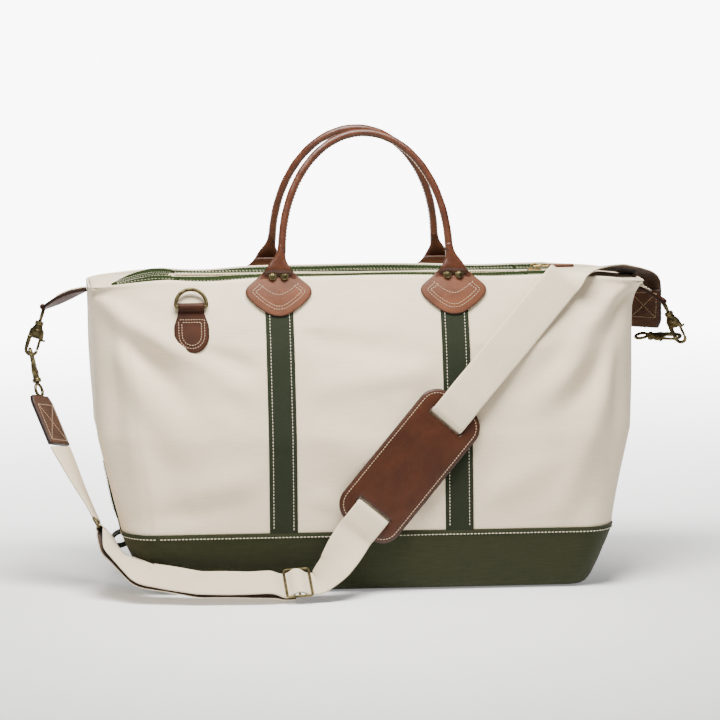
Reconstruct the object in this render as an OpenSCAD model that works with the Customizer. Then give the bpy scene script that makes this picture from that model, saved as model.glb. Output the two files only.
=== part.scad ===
// Canvas weekender duffel bag: canvas shell with a contrast boot and straps, leather handles,
// a zip-topped mouth that opens in two flaps, and a clip-on shoulder strap with a leather pad.
// Millimetres. +X is the bag's right as seen from the front, the front faces -Y, +Z is up, and
// the origin is the centre of the underside.

/* [Body] */
// Half length of the underside
base_half_length = 223; // [205:1:235]
// Half length at the top edge
top_half_length = 280; // [274:1:284]
// Half depth of the underside
base_half_depth = 111; // [106:1:114]
// Half depth at the top edge
top_half_depth = 58; // [57:1:60]
// Height of the top edge
body_height = 312; // [310:1:314]
// Height of the contrast boot round the base
boot_height = 60; // [54:1:66]
// Thickness of the canvas shell with its lining
wall = 3; // [2:0.5:4]

/* [Mouth] */
// Width of each facing beside the zip
facing_width = 34; // [30:1:36]
// Half length of the part of the mouth that opens
mouth_half_length = 190; // [180:1:200]
// Gap between the two rows of zip teeth
teeth_gap = 1.6; // [1.4:0.1:2]

/* [Handles] */
// Half distance between the two feet of a handle
handle_half_span = 85; // [76:1:90]
// Height of a handle above its feet
handle_rise = 121; // [100:1:128]
// Radius of the rolled leather
handle_radius = 4.1; // [3.6:0.1:5.2]
// Radius of the cord inside the rolled leather
handle_core_radius = 2.2; // [1.6:0.1:2.8]

/* [Straps] */
// Width of the vertical straps sewn to the panels
panel_strap_width = 28; // [24:1:32]
// Distance of the vertical straps from the middle
panel_strap_x = 89; // [84:1:92]
// Width of the shoulder strap's webbing
web_width = 38; // [34:1:38]
// Thickness of the shoulder strap's webbing
web = 2; // [1.6:0.1:2.2]

/* [Shoulder pad] */
// Length of the shoulder pad
pad_length = 165; // [150:1:170]
// Width of the shoulder pad
pad_width = 71; // [64:1:74]
// Thickness of the shoulder pad
pad_thickness = 5; // [4:0.5:5]

/* [Snap hooks] */
// Thickness of the wire of a hook's bow
wire = 3.6; // [3.2:0.1:3.8]
// Distance from the bow's wire to the middle of the swivel eye
hook_reach = 44; // [43:0.5:45]

/* [Hidden] */

// colours
canvas = [0.88, 0.85, 0.79];
green = [0.25, 0.29, 0.19];
leather = [0.52, 0.31, 0.19];
brass = [0.42, 0.37, 0.24];
cotton = [0.86, 0.83, 0.77];

// the body's levels: height, half length, half depth and corner radius in plan
mid_height = 155;
shoulder_height = 245;
shoulder_half_depth = 84;
LEVELS = [
    [0, base_half_length, base_half_depth, 24],
    [boot_height, base_half_length + 27, base_half_depth + 7, 34],
    [mid_height, top_half_length - 8, base_half_depth - 3, 42],
    [shoulder_height, top_half_length - 3, shoulder_half_depth, 38],
    [body_height, top_half_length, top_half_depth, 22]];
CORNER_STEPS = 5;
END_DROP = 9;         // how far the top edge falls at the two ends
DROP_START = 200;     // where along X it begins to fall
TILT = atan((shoulder_half_depth - top_half_depth) / (body_height - shoulder_height));

function unit(v) = v / norm(v);
function level(i, z) = lookup(z, [for (l = LEVELS) [l[0], l[i]]]);
function half_length(z) = level(1, z);
function half_depth(z) = level(2, z);
function end_drop(x) = END_DROP * max(0, min(1, (abs(x) - DROP_START) / (top_half_length - DROP_START)));

// half of the outline at one height, from the left end round the front to the right end
function half_ring(z, inset = 0) =
    let (l = half_length(z) - inset, w = half_depth(z) - inset, r = level(3, z) - inset,
        bend = min(DROP_START, l - r - 2))
    concat([[-l, 0]],
        [for (i = [0:CORNER_STEPS]) let (a = 180 + 90 * i / CORNER_STEPS)
            [-(l - r) + r * cos(a), -(w - r) + r * sin(a)]],
        [[-bend, -w], [bend, -w]],
        [for (i = [0:CORNER_STEPS]) let (a = 270 + 90 * i / CORNER_STEPS)
            [(l - r) + r * cos(a), -(w - r) + r * sin(a)]],
        [[l, 0]]);
function full_ring(z, inset = 0) =
    let (h = half_ring(z, inset), n = len(h))
    concat(h, [for (i = [1:n - 2]) [h[n - 1 - i][0], -h[n - 1 - i][1]]]);

// a closed sheet between two grids of points that match, "near" seen from outside
module slab(near, far) {
    m = len(near);
    n = len(near[0]);
    k = m * n;
    function at(i, j) = i * n + j;
    polyhedron(points = concat([for (r = near) each r], [for (r = far) each r]),
        faces = concat(
            [for (i = [0:m - 2], j = [0:n - 2]) each [
                [at(i, j), at(i + 1, j + 1), at(i, j + 1)],
                [at(i, j), at(i + 1, j), at(i + 1, j + 1)],
                [k + at(i, j), k + at(i, j + 1), k + at(i + 1, j + 1)],
                [k + at(i, j), k + at(i + 1, j + 1), k + at(i + 1, j)]]],
            [for (j = [0:n - 2]) each [
                [at(0, j), at(0, j + 1), k + at(0, j + 1)],
                [at(0, j), k + at(0, j + 1), k + at(0, j)],
                [at(m - 1, j + 1), at(m - 1, j), k + at(m - 1, j)],
                [at(m - 1, j + 1), k + at(m - 1, j), k + at(m - 1, j + 1)]]],
            [for (i = [0:m - 2]) each [
                [at(i + 1, 0), at(i, 0), k + at(i, 0)],
                [at(i + 1, 0), k + at(i, 0), k + at(i + 1, 0)],
                [at(i, n - 1), at(i + 1, n - 1), k + at(i + 1, n - 1)],
                [at(i, n - 1), k + at(i + 1, n - 1), k + at(i, n - 1)]]]));
}

// a flat band along a path; each row is [point, direction across the band, offset along its normal]
module band(rows, width, thick) {
    n = len(rows);
    function heading(i) = unit(rows[min(i + 1, n - 1)][0] - rows[max(i - 1, 0)][0]);
    function across(i) = let (d = heading(i), w = rows[i][1]) unit(w - d * (w * d));
    function normal(i) = cross(heading(i), across(i));
    function edge(i, s, q) = rows[i][0] + across(i) * s * width / 2
        + normal(i) * (rows[i][2] + q * thick / 2);
    slab([for (i = [0:n - 1]) [edge(i, 1, 1), edge(i, -1, 1)]],
        [for (i = [0:n - 1]) [edge(i, 1, -1), edge(i, -1, -1)]]);
}

// a round rope of a given radius along a path that lies in the XZ plane
module rope(path, radius, sides = 12) {
    n = len(path);
    function heading(i) = unit(path[min(i + 1, n - 1)] - path[max(i - 1, 0)]);
    function ring(i) = let (d = heading(i), u = [d[2], 0, -d[0]])
        [for (j = [0:sides - 1]) path[i] + radius * (cos(360 * j / sides) * u
            + sin(360 * j / sides) * [0, 1, 0])];
    polyhedron(points = [for (i = [0:n - 1]) each ring(i)],
        faces = concat([[for (j = [0:sides - 1]) j]],
            [for (i = [0:n - 2], j = [0:sides - 1]) each [
                [i * sides + j, (i + 1) * sides + j, (i + 1) * sides + (j + 1) % sides],
                [i * sides + j, (i + 1) * sides + (j + 1) % sides, i * sides + (j + 1) % sides]]],
            [[for (j = [0:sides - 1]) n * sides - 1 - j]]));
}

// a place on the sloping upper part of the front: Z of the children points out of the canvas
module on_front(x, z, out = 0)
    translate([x, -half_depth(z), z]) rotate([90 - TILT, 0, 0]) translate([0, 0, out]) children();
module to_back() mirror([0, 1, 0]) children();

// ---- body ----
HALF_SHELL = [for (z = [boot_height, 100, mid_height, 200, shoulder_height, 280, body_height]) z];
function shell_row(z, inset) = [for (p = half_ring(z, inset))
    [p[0], p[1], z == body_height ? z - end_drop(p[0]) : z]];
module half_shell() slab([for (z = HALF_SHELL) shell_row(z, 0)], [for (z = HALF_SHELL) shell_row(z, wall)]);
module front_panel() color(canvas) half_shell();
module back_panel() color(canvas) to_back() half_shell();

BOARD = 3;
BASE_CLOTH = 2.5;
// a wall all the way round, from four rings: outside low and high, then inside high and low
module ring_wall(rings) {
    n = len(rings[0]);
    polyhedron(points = [for (r = rings) each r],
        faces = [for (k = [0:3], j = [0:n - 1]) let (a = k * n, b = (k + 1) % 4 * n, i = (j + 1) % n)
            each [[a + j, b + i, a + i], [a + j, b + j, b + i]]]);
}
module base_boot() {
    function ring(z, inset) = [for (p = full_ring(z, inset)) [p[0], p[1], z]];
    color(green) ring_wall([ring(0, 0), ring(boot_height, 0), ring(boot_height, wall), ring(0, wall)]);
}
module base_panel() color(green) linear_extrude(BASE_CLOTH) polygon(full_ring(0, wall + 0.3));
module base_board() color([0.35, 0.3, 0.25]) translate([0, 0, BASE_CLOTH + 0.2])
    linear_extrude(BOARD) polygon(full_ring(0, wall + 2));

POCKET_WIDTH = 220;
module inner_pocket() {
    zs = [120, mid_height, 200, 240];
    function row(z, inset) = [for (s = [-1, 1]) [s * POCKET_WIDTH / 2, half_depth(z) - wall - inset, z]];
    color(canvas) slab([for (z = zs) row(z, 3.2)], [for (z = zs) row(z, 1.2)]);
}

// ---- sewn straps and end details ----
STRAP_CLOTH = 1.2;
STRAP_TOP = 297;
module panel_strap(x) {
    zs = [boot_height + 1, 100, mid_height, 200, shoulder_height, 280, STRAP_TOP];
    function row(z, out) = [for (s = [-1, 1]) [x + s * panel_strap_width / 2, -half_depth(z) - out, z]];
    slab([for (z = zs) row(z, 0.3 + STRAP_CLOTH)], [for (z = zs) row(z, 0.3)]);
}
module front_strap_left() color(green) panel_strap(-panel_strap_x);
module front_strap_right() color(green) panel_strap(panel_strap_x);
module back_strap_left() color(green) to_back() panel_strap(-panel_strap_x);
module back_strap_right() color(green) to_back() panel_strap(panel_strap_x);

END_STRIP_TOP = 118;
END_STRIP_HALF_WIDTH = 11;
module end_strip() {
    zs = [boot_height + 1, 80, 100, END_STRIP_TOP];
    function row(z, out) = [for (s = [1, -1]) [half_length(z) + out, s * END_STRIP_HALF_WIDTH, z]];
    slab([for (z = zs) row(z, 0.3)], [for (z = zs) row(z, 2.5)]);
}
module end_strip_right() color(green) end_strip();
module end_strip_left() color(green) mirror([1, 0, 0]) end_strip();

// a small loop of strap standing out from the boot, open from side to side
LOOP_HEIGHT = 40;
module end_loop() {
    slope = atan((half_length(boot_height) - half_length(0)) / boot_height);
    translate([half_length(LOOP_HEIGHT) + 0.4, 0, LOOP_HEIGHT]) rotate([0, slope, 0])
        rotate([90, 0, 0]) translate([0, 0, -10]) linear_extrude(20) difference() {
            translate([5, 0]) circle(r = 7, $fn = 48);
            translate([5, 0]) circle(r = 5.2, $fn = 48);
            translate([-10, -10]) square([10, 20]);
        }
}
module end_loop_right() color(green) end_loop();
module end_loop_left() color(green) mirror([1, 0, 0]) end_loop();

// ---- mouth: two hinged flaps of facing, zip tape and teeth, with fixed ends ----
MOUTH_Z = body_height - 0.5;                       // top of the facings
MOUTH_EDGE = top_half_depth - wall - 0.5;          // outer edge of a facing, where it folds
FACING = 2;
TAPE = 1.4;
TEETH_HEIGHT = 2.8;
TEETH_WIDTH = 2.6;
TAPE_Z = MOUTH_Z - FACING - TAPE - 0.2;
TEETH_Z = TAPE_Z - 0.6;
ZIP_END = 232;                                     // where the zip stops at each end
LEFT_END = [-ZIP_END, -mouth_half_length - 0.5];
RIGHT_END = [mouth_half_length - 25 + 0.5, ZIP_END - 28];
FLAP = [-mouth_half_length, mouth_half_length - 25];
module plate(span, y0, y1, z, thick)
    translate([span[0], y0, z]) cube([span[1] - span[0], y1 - y0, thick]);
module facing(span) plate(span, -MOUTH_EDGE, -MOUTH_EDGE + facing_width, MOUTH_Z - FACING, FACING);
module tape(span) plate(span, -MOUTH_EDGE + facing_width - 4, -teeth_gap / 2 - TEETH_WIDTH - 0.1,
    TAPE_Z, TAPE);
module teeth(span) plate(span, -teeth_gap / 2 - TEETH_WIDTH, -teeth_gap / 2, TEETH_Z, TEETH_HEIGHT);
module zip_flap_front() color(green) facing(FLAP);
module zip_flap_back() color(green) to_back() facing(FLAP);
module zip_tape_front() color(canvas) tape(FLAP);
module zip_tape_back() color(canvas) to_back() tape(FLAP);
module zip_teeth_front() color(brass) teeth(FLAP);
module zip_teeth_back() color(brass) to_back() teeth(FLAP);
module zip_end(span) for (side = [0, 1]) mirror([0, side, 0]) {
    color(green) facing(span);
    color(canvas) tape(span);
    color(brass) teeth(span);
}
module zip_end_left() zip_end(LEFT_END);
module zip_end_right() zip_end(RIGHT_END);

module gusset(start) {
    w = MOUTH_EDGE;
    top_end = top_half_length - wall - 2;
    function row(x, z) = [for (s = [-1, 1]) [x, s * (x > DROP_START + 60 ? w - 14 : w), z - end_drop(x)]];
    xs = [start, (start + top_end) / 2, top_end];
    slab([for (x = xs) row(x, MOUTH_Z - FACING)], [for (x = xs) row(x, MOUTH_Z)]);
}
module top_gusset_right() color(canvas) gusset(RIGHT_END[1] + 0.5);
module top_gusset_left() color(canvas) mirror([1, 0, 0]) gusset(ZIP_END + 0.5);

// the slider rides the two rows of teeth, its thin web between them
SLIDER_X = RIGHT_END[1] - 22;                      // where it parks when the mouth is shut
SLIDER = [14, 10];
module zip_slider() color(brass) translate([SLIDER_X, 0, 0]) {
    translate([-SLIDER[0] / 2, -SLIDER[1] / 2, TEETH_Z - 2]) cube([SLIDER[0], SLIDER[1], 1.6]);
    translate([-SLIDER[0] / 2, -SLIDER[1] / 2, TEETH_Z + TEETH_HEIGHT + 0.4])
        cube([SLIDER[0], SLIDER[1], 1.6]);
    translate([-SLIDER[0] / 2, -0.4, TEETH_Z - 1]) cube([SLIDER[0], 0.8, TEETH_HEIGHT + 2]);
    // the bridge that the pull hangs on
    for (x = [-4, 3]) translate([x, -1.2, TEETH_Z + TEETH_HEIGHT + 1.6]) cube([1.4, 2.4, 5.8]);
    translate([-4, -1.2, TEETH_Z + TEETH_HEIGHT + 6.4]) cube([8.4, 2.4, 1.4]);
}
PULL_Z = TEETH_Z + TEETH_HEIGHT + 4.8;             // height of the pull's pivot
module zip_pull() color(brass) translate([SLIDER_X + 1.6, 0, PULL_Z]) difference() {
    translate([-2.4, -4, -0.8]) cube([19, 8, 1.6]);
    translate([-1.2, -1.6, -2]) cube([6.4, 3.2, 4]);
    translate([12.8, -2.4, -2]) cube([2.4, 4.8, 4]);
}
module zip_pull_tab() color(leather) translate([SLIDER_X + 14.6, -5, PULL_Z]) {
    difference() {
        translate([0, 0, -1.7]) cube([27, 10, 3.4]);
        translate([-1, -1, -1]) cube([4.6, 12, 2]);
        translate([-5, -1, -3]) cube([5.1, 12, 6]);
    }
}

// ---- handles ----
HANDLE_Y = 62.5;
HINGE_Z = 321;
FOOT_Z = HINGE_Z + 17;
LEAN = 12;                                         // how far a handle leans in when it stands
ARCH = [for (a = [180:-10:0]) [handle_half_span * cos(a), 0, FOOT_Z + handle_rise * sin(a)]];
module on_handle() translate([0, -HANDLE_Y, HINGE_Z]) rotate([-LEAN, 0, 0])
    translate([0, 0, -HINGE_Z]) children();
module neck(x) hull() {
    translate([x - 10, -2, HINGE_Z + 3.4]) cube([20, 4, 1]);
    translate([x, 0, FOOT_Z - 1]) cylinder(r = handle_radius, h = 1, $fn = 24);
}
module handle() on_handle() {
    difference() {
        rope(ARCH, handle_radius);
        rope([for (i = [0:len(ARCH) - 1]) i == 0 || i == len(ARCH) - 1
            ? ARCH[i] - [0, 0, 1] : ARCH[i]], handle_core_radius);
    }
    for (s = [-1, 1]) neck(s * handle_half_span);
}
module handle_core() on_handle() rope([for (p = ARCH) p[2] < FOOT_Z + 0.1 ? p + [0, 0, 0.2] : p],
    handle_core_radius - 0.1);
module handle_front() color(leather) handle();
module handle_back() color(leather) to_back() handle();
module handle_core_front() color(cotton) handle_core();
module handle_core_back() color(cotton) to_back() handle_core();

// the leather chape that holds a handle's foot: a rounded diamond with two rivet holes
CHAPE_HALF_WIDTH = 34;
CHAPE_RAISE = 5;       // the widest place is this far up from CHAPE_Z
CHAPE_TOP = 20;        // from the widest place up to the rounded top
CHAPE_BOTTOM = 26;     // and down to the tip
CHAPE_Z = 293;
CHAPE_OUT = 2;
CHAPE = 2.6;
RIVET_X = 6;
RIVET_UP = 20;
function diamond(a) = let (p = 1.35, c = cos(a), s = sin(a))
    [CHAPE_HALF_WIDTH * sign(c) * pow(abs(c), 2 / p),
        (s > 0 ? CHAPE_TOP : -CHAPE_BOTTOM) * pow(abs(s), 2 / p)];
module chape(x) on_front(x, CHAPE_Z, CHAPE_OUT) linear_extrude(CHAPE) difference() {
    union() {
        translate([0, CHAPE_RAISE]) polygon([for (a = [0:9:351]) diamond(a)]);
        translate([-11, 12]) square([22, 13]);
    }
    for (s = [-1, 1]) translate([s * RIVET_X, RIVET_UP]) circle(r = 2.1, $fn = 32);
}
module chape_front_left() color(leather) chape(-panel_strap_x);
module chape_front_right() color(leather) chape(panel_strap_x);
module chape_back_left() color(leather) to_back() chape(-panel_strap_x);
module chape_back_right() color(leather) to_back() chape(panel_strap_x);
module rivet() {
    cylinder(r = 2, h = CHAPE, $fn = 32);
    translate([0, 0, CHAPE]) cylinder(r1 = 4.2, r2 = 3, h = 1.4, $fn = 32);
}
module chape_rivets() color(brass)
    for (back = [0, 1], x = [-panel_strap_x, panel_strap_x], s = [-1, 1]) mirror([0, back, 0])
        on_front(x, CHAPE_Z, CHAPE_OUT) translate([s * RIVET_X, RIVET_UP, 0]) rivet();

// ---- ring tab and D-ring ----
RING_X = -178;
RING_Z = 284;
RING_OUT = 5;
RING_R = 15.5;
RING_WIRE = 1.9;
TAB_HALF_WIDTH = 12.5;
module ring_tab() color(leather) on_front(RING_X, RING_Z, 0) difference() {
    union() {
        translate([0, 0, 0.4]) linear_extrude(3) union() {
            polygon([for (p = [[-TAB_HALF_WIDTH, 2], [-18, -20]]) p, for (a = [180:15:360])
                [18 * cos(a), -30 + 18 * sin(a)], [18, -20], [TAB_HALF_WIDTH, 2]]);
        }
        translate([-TAB_HALF_WIDTH, 0, RING_OUT]) rotate([0, 90, 0])
            cylinder(r = 4.4, h = 2 * TAB_HALF_WIDTH, $fn = 48);
    }
    translate([-20, 0, RING_OUT]) rotate([0, 90, 0]) cylinder(r = RING_WIRE + 0.3, h = 40, $fn = 48);
}
module d_ring() color(brass) on_front(RING_X, RING_Z, RING_OUT) {
    rotate([0, 90, 0]) translate([0, 0, -RING_R]) cylinder(r = RING_WIRE, h = 2 * RING_R, $fn = 32);
    for (s = [-1, 1]) translate([s * RING_R, 0, 0]) {
        sphere(r = RING_WIRE, $fn = 32);
        rotate([-90, 0, 0]) cylinder(r = RING_WIRE, h = 2.5, $fn = 32);
    }
    translate([0, 2.5, 0]) rotate_extrude(angle = 180, $fn = 64)
        translate([RING_R, 0]) circle(r = RING_WIRE, $fn = 32);
}

// ---- snap hooks ----
// Drawn with the bow's wire at the origin and the swivel eye above it on +Z
BOW_R = 5.6;
STEM_Z = 30;
EYE_R = 6.4;
GATE_R = 1.5;
module snap() {
    translate([0, 0, BOW_R]) rotate([90, 0, 0]) rotate_extrude(angle = -180, $fn = 48)
        translate([BOW_R, 0]) circle(r = wire / 2, $fn = 24);
    // back of the bow up to the barrel
    translate([-BOW_R, 0, BOW_R]) cylinder(r = wire / 2, h = 17, $fn = 24);
    difference() {
        hull() {
            translate([-BOW_R, 0, 18]) cylinder(r = 2.4, h = 8, $fn = 32);
            translate([BOW_R, 0, 18]) cylinder(r = 3, h = 8, $fn = 32);
            translate([0, 0, STEM_Z]) cylinder(r = 3.4, h = 3, $fn = 32);
        }
        // barrel of the gate, open towards the bow, with a slot for the thumb lug
        translate([BOW_R, 0, 10]) cylinder(r = GATE_R + 0.3, h = 16, $fn = 32);
        translate([BOW_R, -1.2, 10]) cube([8, 2.4, 16]);
    }
    translate([0, 0, STEM_Z + 2]) cylinder(r = 4.6, h = 3.4, $fn = 32);
}
module gate() {
    translate([BOW_R, 0, BOW_R + 0.5]) cylinder(r = GATE_R, h = 14, $fn = 24);
    translate([BOW_R, -0.8, 16]) cube([5.2, 1.6, 3]);
}
module eye() translate([0, 0, hook_reach]) {
    rotate([90, 0, 0]) rotate_extrude($fn = 48) translate([EYE_R, 0]) circle(r = 1.5, $fn = 24);
    translate([0, 0, -EYE_R - 2.1]) cylinder(r = 1.9, h = 1.6, $fn = 24);
}
// a hook stands with its bow and its eye at two points, and its gate towards a side
module pose(bow, eye_at, side) {
    z = unit(eye_at - bow);
    x = unit(side - z * (side * z));
    y = cross(z, x);
    multmatrix([[x[0], y[0], z[0], bow[0]], [x[1], y[1], z[1], bow[1]], [x[2], y[2], z[2], bow[2]],
        [0, 0, 0, 1]]) children();
}
// each pair of bows is linked like two links of a chain: in line on the left, at an angle on the right
LEFT_CROSS = [-338, -1, 233];
LEFT_WING_EYE = [-325, 0, 274];
LEFT_STRAP_EYE = [-330, -16, 194];
CROSS_GAP = wire / 2 + 1.2;
function past(cross_at, eye_at) = cross_at - CROSS_GAP * unit(eye_at - cross_at);
RIGHT_WING_EYE = [318, -8, 274];
RIGHT_STRAP_EYE = [303, 17, 238];
RIGHT_WING_BOW = [338, -6, 234];
RIGHT_STRAP_BOW = RIGHT_WING_BOW + (BOW_R + 0.6) * unit(RIGHT_WING_EYE - RIGHT_WING_BOW);
RIGHT_FOLD = cross(RIGHT_WING_EYE - RIGHT_WING_BOW, RIGHT_STRAP_EYE - RIGHT_STRAP_BOW);
module left_wing() pose(past(LEFT_CROSS, LEFT_WING_EYE), LEFT_WING_EYE, [1, 0, 0]) children();
module left_strap() pose(past(LEFT_CROSS, LEFT_STRAP_EYE), LEFT_STRAP_EYE, [-0.1, -1, 0]) children();
module right_wing() pose(RIGHT_WING_BOW, RIGHT_WING_EYE, RIGHT_STRAP_BOW - RIGHT_STRAP_EYE) children();
module right_strap() pose(RIGHT_STRAP_BOW, RIGHT_STRAP_EYE, RIGHT_FOLD * sign(-RIGHT_FOLD[1])) children();
module wing_snap_left() color(brass) left_wing() snap();
module wing_gate_left() color(brass) left_wing() gate();
module wing_eye_left() color(brass)
    pose(past(LEFT_CROSS, LEFT_WING_EYE), LEFT_WING_EYE, [0, 1, 0]) eye();
module strap_snap_left() color(brass) left_strap() snap();
module strap_gate_left() color(brass) left_strap() gate();
module strap_eye_left() color(brass)
    pose(past(LEFT_CROSS, LEFT_STRAP_EYE), LEFT_STRAP_EYE, END_LEFT_ACROSS) eye();
module wing_snap_right() color(brass) right_wing() snap();
module wing_gate_right() color(brass) right_wing() gate();
module wing_eye_right() color(brass) pose(RIGHT_WING_BOW, RIGHT_WING_EYE, [0, 1, 0]) eye();
module strap_snap_right() color(brass) right_strap() snap();
module strap_gate_right() color(brass) right_strap() gate();
module strap_eye_right() color(brass) right_strap() eye();

// ---- wing tabs: leather and webbing folded round a hook's eye ----
WING_WIDTH = 25;
module wing_tab_left() color(leather) band([
    [[-280.5, 0, 297], [0, 1, 0], 0], [[-296, 0, 292], [0, 1, 0], 0],
    [[-310, 0, 286], [0, 1, 0], 0], [[-317, 0, 281], [0, 1, 0], 0]], WING_WIDTH, 5);
module wing_tab_right() color(leather) band([
    [[280.5, -8, 297], [0, 1, 0], 0], [[294, -8, 292], [0, 1, 0], 0],
    [[304, -8, 286], [0, 1, 0], 0], [[310, -8, 281], [0, 1, 0], 0]], WING_WIDTH, 5);

// ---- shoulder strap ----
// left: leather end and short webbing down to the square loop
END_LEFT = [[-328.5, -20, 185], [-311, -42, 143]];
END_LEFT_ACROSS = [0.52, 0.8, -0.2];
LOOP_AT = [-270, -76, 62];
LOOP_HEADING = unit([0.45, -0.55, -0.7]);
LOOP_ACROSS = unit([0.3, 0.8, -0.45] - LOOP_HEADING * ([0.3, 0.8, -0.45] * LOOP_HEADING));
LOOP_NORMAL = cross(LOOP_HEADING, LOOP_ACROSS);
function loop_point(along) = LOOP_AT + LOOP_HEADING * along;
LOOP_BAR = 5.5;       // the loop's two bars, from its middle
LOOP_TURN = 3.6;      // radius of the webbing's fold round a bar
module strap_end_left() color(leather) band([for (p = END_LEFT) [p, END_LEFT_ACROSS, 0]], web_width, 5);
module strap_short() color(cotton) band([
    [[-310.2, -43, 141], END_LEFT_ACROSS, 0], [[-297, -56, 114], [0.45, 0.82, -0.3], 0],
    [[-283, -62, 86], LOOP_ACROSS, 0], [loop_point(-11), LOOP_ACROSS, 0]], web_width, web);

// doubled webbing from the square loop to the slide: middle line of the pair, and the half gap
PAIR = [
    [loop_point(14), LOOP_ACROSS, 3.4],
    [[-256, -113, 40], [0.3, 0.85, -0.05], 2.6],
    [[-229, -138, 25], [0.15, 0.85, 0.4], 1.8],
    [[-176, -149, 17], [0.05, 0.87, 0.42], 1.8],
    [[-128, -152, 16], [0, 0.88, 0.4], 2.2],
    [[-104, -152, 16], [0, 0.88, 0.4], 3]];
SLIDE_AT = [-78, -151, 17];
SLIDE_HEADING = [1, 0, 0.06];
SLIDE_ACROSS = [0, 0.88, 0.44];
function slide_point(along) = SLIDE_AT + unit(SLIDE_HEADING) * along;
BAR_HALF = 1.2;
OVER = BAR_HALF + web / 2 + 0.9;
// places in the pad's own frame: along it, and out of its back face
PAD_AT = [38, -116.5, 127];
PAD_ANGLE = 49.7;
PAD_TILT = 8.4;
PAD_OUT = [0, -cos(PAD_TILT), sin(PAD_TILT)];
PAD_ALONG = [cos(PAD_ANGLE), sin(PAD_ANGLE) * sin(PAD_TILT), sin(PAD_ANGLE) * cos(PAD_TILT)];
PAD_ACROSS = [-sin(PAD_ANGLE), cos(PAD_ANGLE) * sin(PAD_TILT), cos(PAD_ANGLE) * cos(PAD_TILT)];
SLOT_AT = 58;
SLOT = 8;
PAD_OVER = pad_thickness + web / 2 + 0.5;
PAD_UNDER = -web / 2 - 0.6;
function pad_row(along, out) = [PAD_AT + along * PAD_ALONG + out * PAD_OUT, PAD_ACROSS, 0];
RIGHT_END_ACROSS = [-0.8, 0.6, 0];
module strap_main() color(cotton) {
    m = len(PAIR);
    band(concat(
        // from the slide's middle bar back to the loop, behind
        [[slide_point(-4), SLIDE_ACROSS, OVER + web + 1], [slide_point(-15), SLIDE_ACROSS, OVER + web + 1]],
        [for (i = [m - 1:-1:0]) PAIR[i]],
        // round the loop's bar
        [for (a = [0:45:180]) [loop_point(LOOP_BAR - LOOP_TURN * sin(a))
            - LOOP_NORMAL * LOOP_TURN * cos(a), LOOP_ACROSS, 0]],
        // in front again, through the slide and the pad, and over the bag to the right end
        PAIR,
        [[slide_point(-15), SLIDE_ACROSS, -OVER], [slide_point(-9), SLIDE_ACROSS, -OVER],
         [slide_point(-3), SLIDE_ACROSS, OVER], [slide_point(3), SLIDE_ACROSS, OVER],
         [slide_point(9), SLIDE_ACROSS, -OVER], [slide_point(20), SLIDE_ACROSS, -OVER],
         [[-40, -147, 33], [-0.35, 0.7, 0.6], 0], [[-28, -139, 50], [-0.6, 0.35, 0.64], 0]],
        [pad_row(-88, 4), pad_row(-80, PAD_OVER), pad_row(-SLOT_AT - 1.5, PAD_OVER),
         pad_row(-SLOT_AT + 1.5, PAD_UNDER), pad_row(SLOT_AT - 1.5, PAD_UNDER),
         pad_row(SLOT_AT + 1.5, PAD_OVER), pad_row(80, PAD_OVER), pad_row(90, 4)],
        [[[143, -91, 245], PAD_ACROSS, 0], [[203, -66.5, 311], PAD_ACROSS, 0],
         [[210, -59, 316], [-0.65, 0.6, 0.1], 0], [[222, -45, 318.5], [-0.6, 0.7, -0.2], 0],
         [[240, -26, 320], [-0.6, 0.6, -0.4], 0], [[259, -7, 318.5], [-0.6, 0.6, -0.4], 0],
         [[281, 7, 313], [-0.6, 0.7, -0.2], 0], [[297, 14, 306], [-0.75, 0.65, -0.1], 0],
         [[302, 17, 298], RIGHT_END_ACROSS, 0], [[302, 18, 289], RIGHT_END_ACROSS, 0]]),
        web_width, web);
}
module strap_slide() color(brass) multmatrix(frame_at(SLIDE_AT, SLIDE_HEADING, SLIDE_ACROSS))
    difference() {
        translate([-14, -web_width / 2 - 4, -BAR_HALF]) cube([28, web_width + 8, 2 * BAR_HALF]);
        for (s = [-1, 1]) translate([s * 6.4 - 4.6, -web_width / 2 - 0.8, -5])
            cube([9.2, web_width + 1.6, 10]);
    }
// local X along, local Y across, local Z out
function frame_at(at, along, across) =
    let (x = unit(along), y = unit(across - x * (across * x)), z = cross(x, y))
    [[x[0], y[0], z[0], at[0]], [x[1], y[1], z[1], at[1]], [x[2], y[2], z[2], at[2]], [0, 0, 0, 1]];
module strap_loop() color(brass) multmatrix(frame_at(LOOP_AT, LOOP_HEADING, LOOP_ACROSS))
    difference() {
        translate([-7, -web_width / 2 - 4, -1.6]) cube([14, web_width + 8, 3.2]);
        translate([-4, -web_width / 2 - 0.8, -5]) cube([8, web_width + 1.6, 10]);
    }

module shoulder_pad() color(leather) translate(PAD_AT) rotate([90 - PAD_TILT, 0, 0])
    rotate([0, 0, PAD_ANGLE]) linear_extrude(pad_thickness) difference() {
        offset(r = 28, $fn = 48) square([pad_length - 56, pad_width - 56], center = true);
        for (s = [-1, 1]) translate([s * SLOT_AT, 0]) square([SLOT, web_width + 3], center = true);
    }
module strap_end_right() color(leather) band([
    [[302, 18, 287.5], RIGHT_END_ACROSS, 0], [[302.5, 18, 247], RIGHT_END_ACROSS, 0]], web_width, 5);

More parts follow.
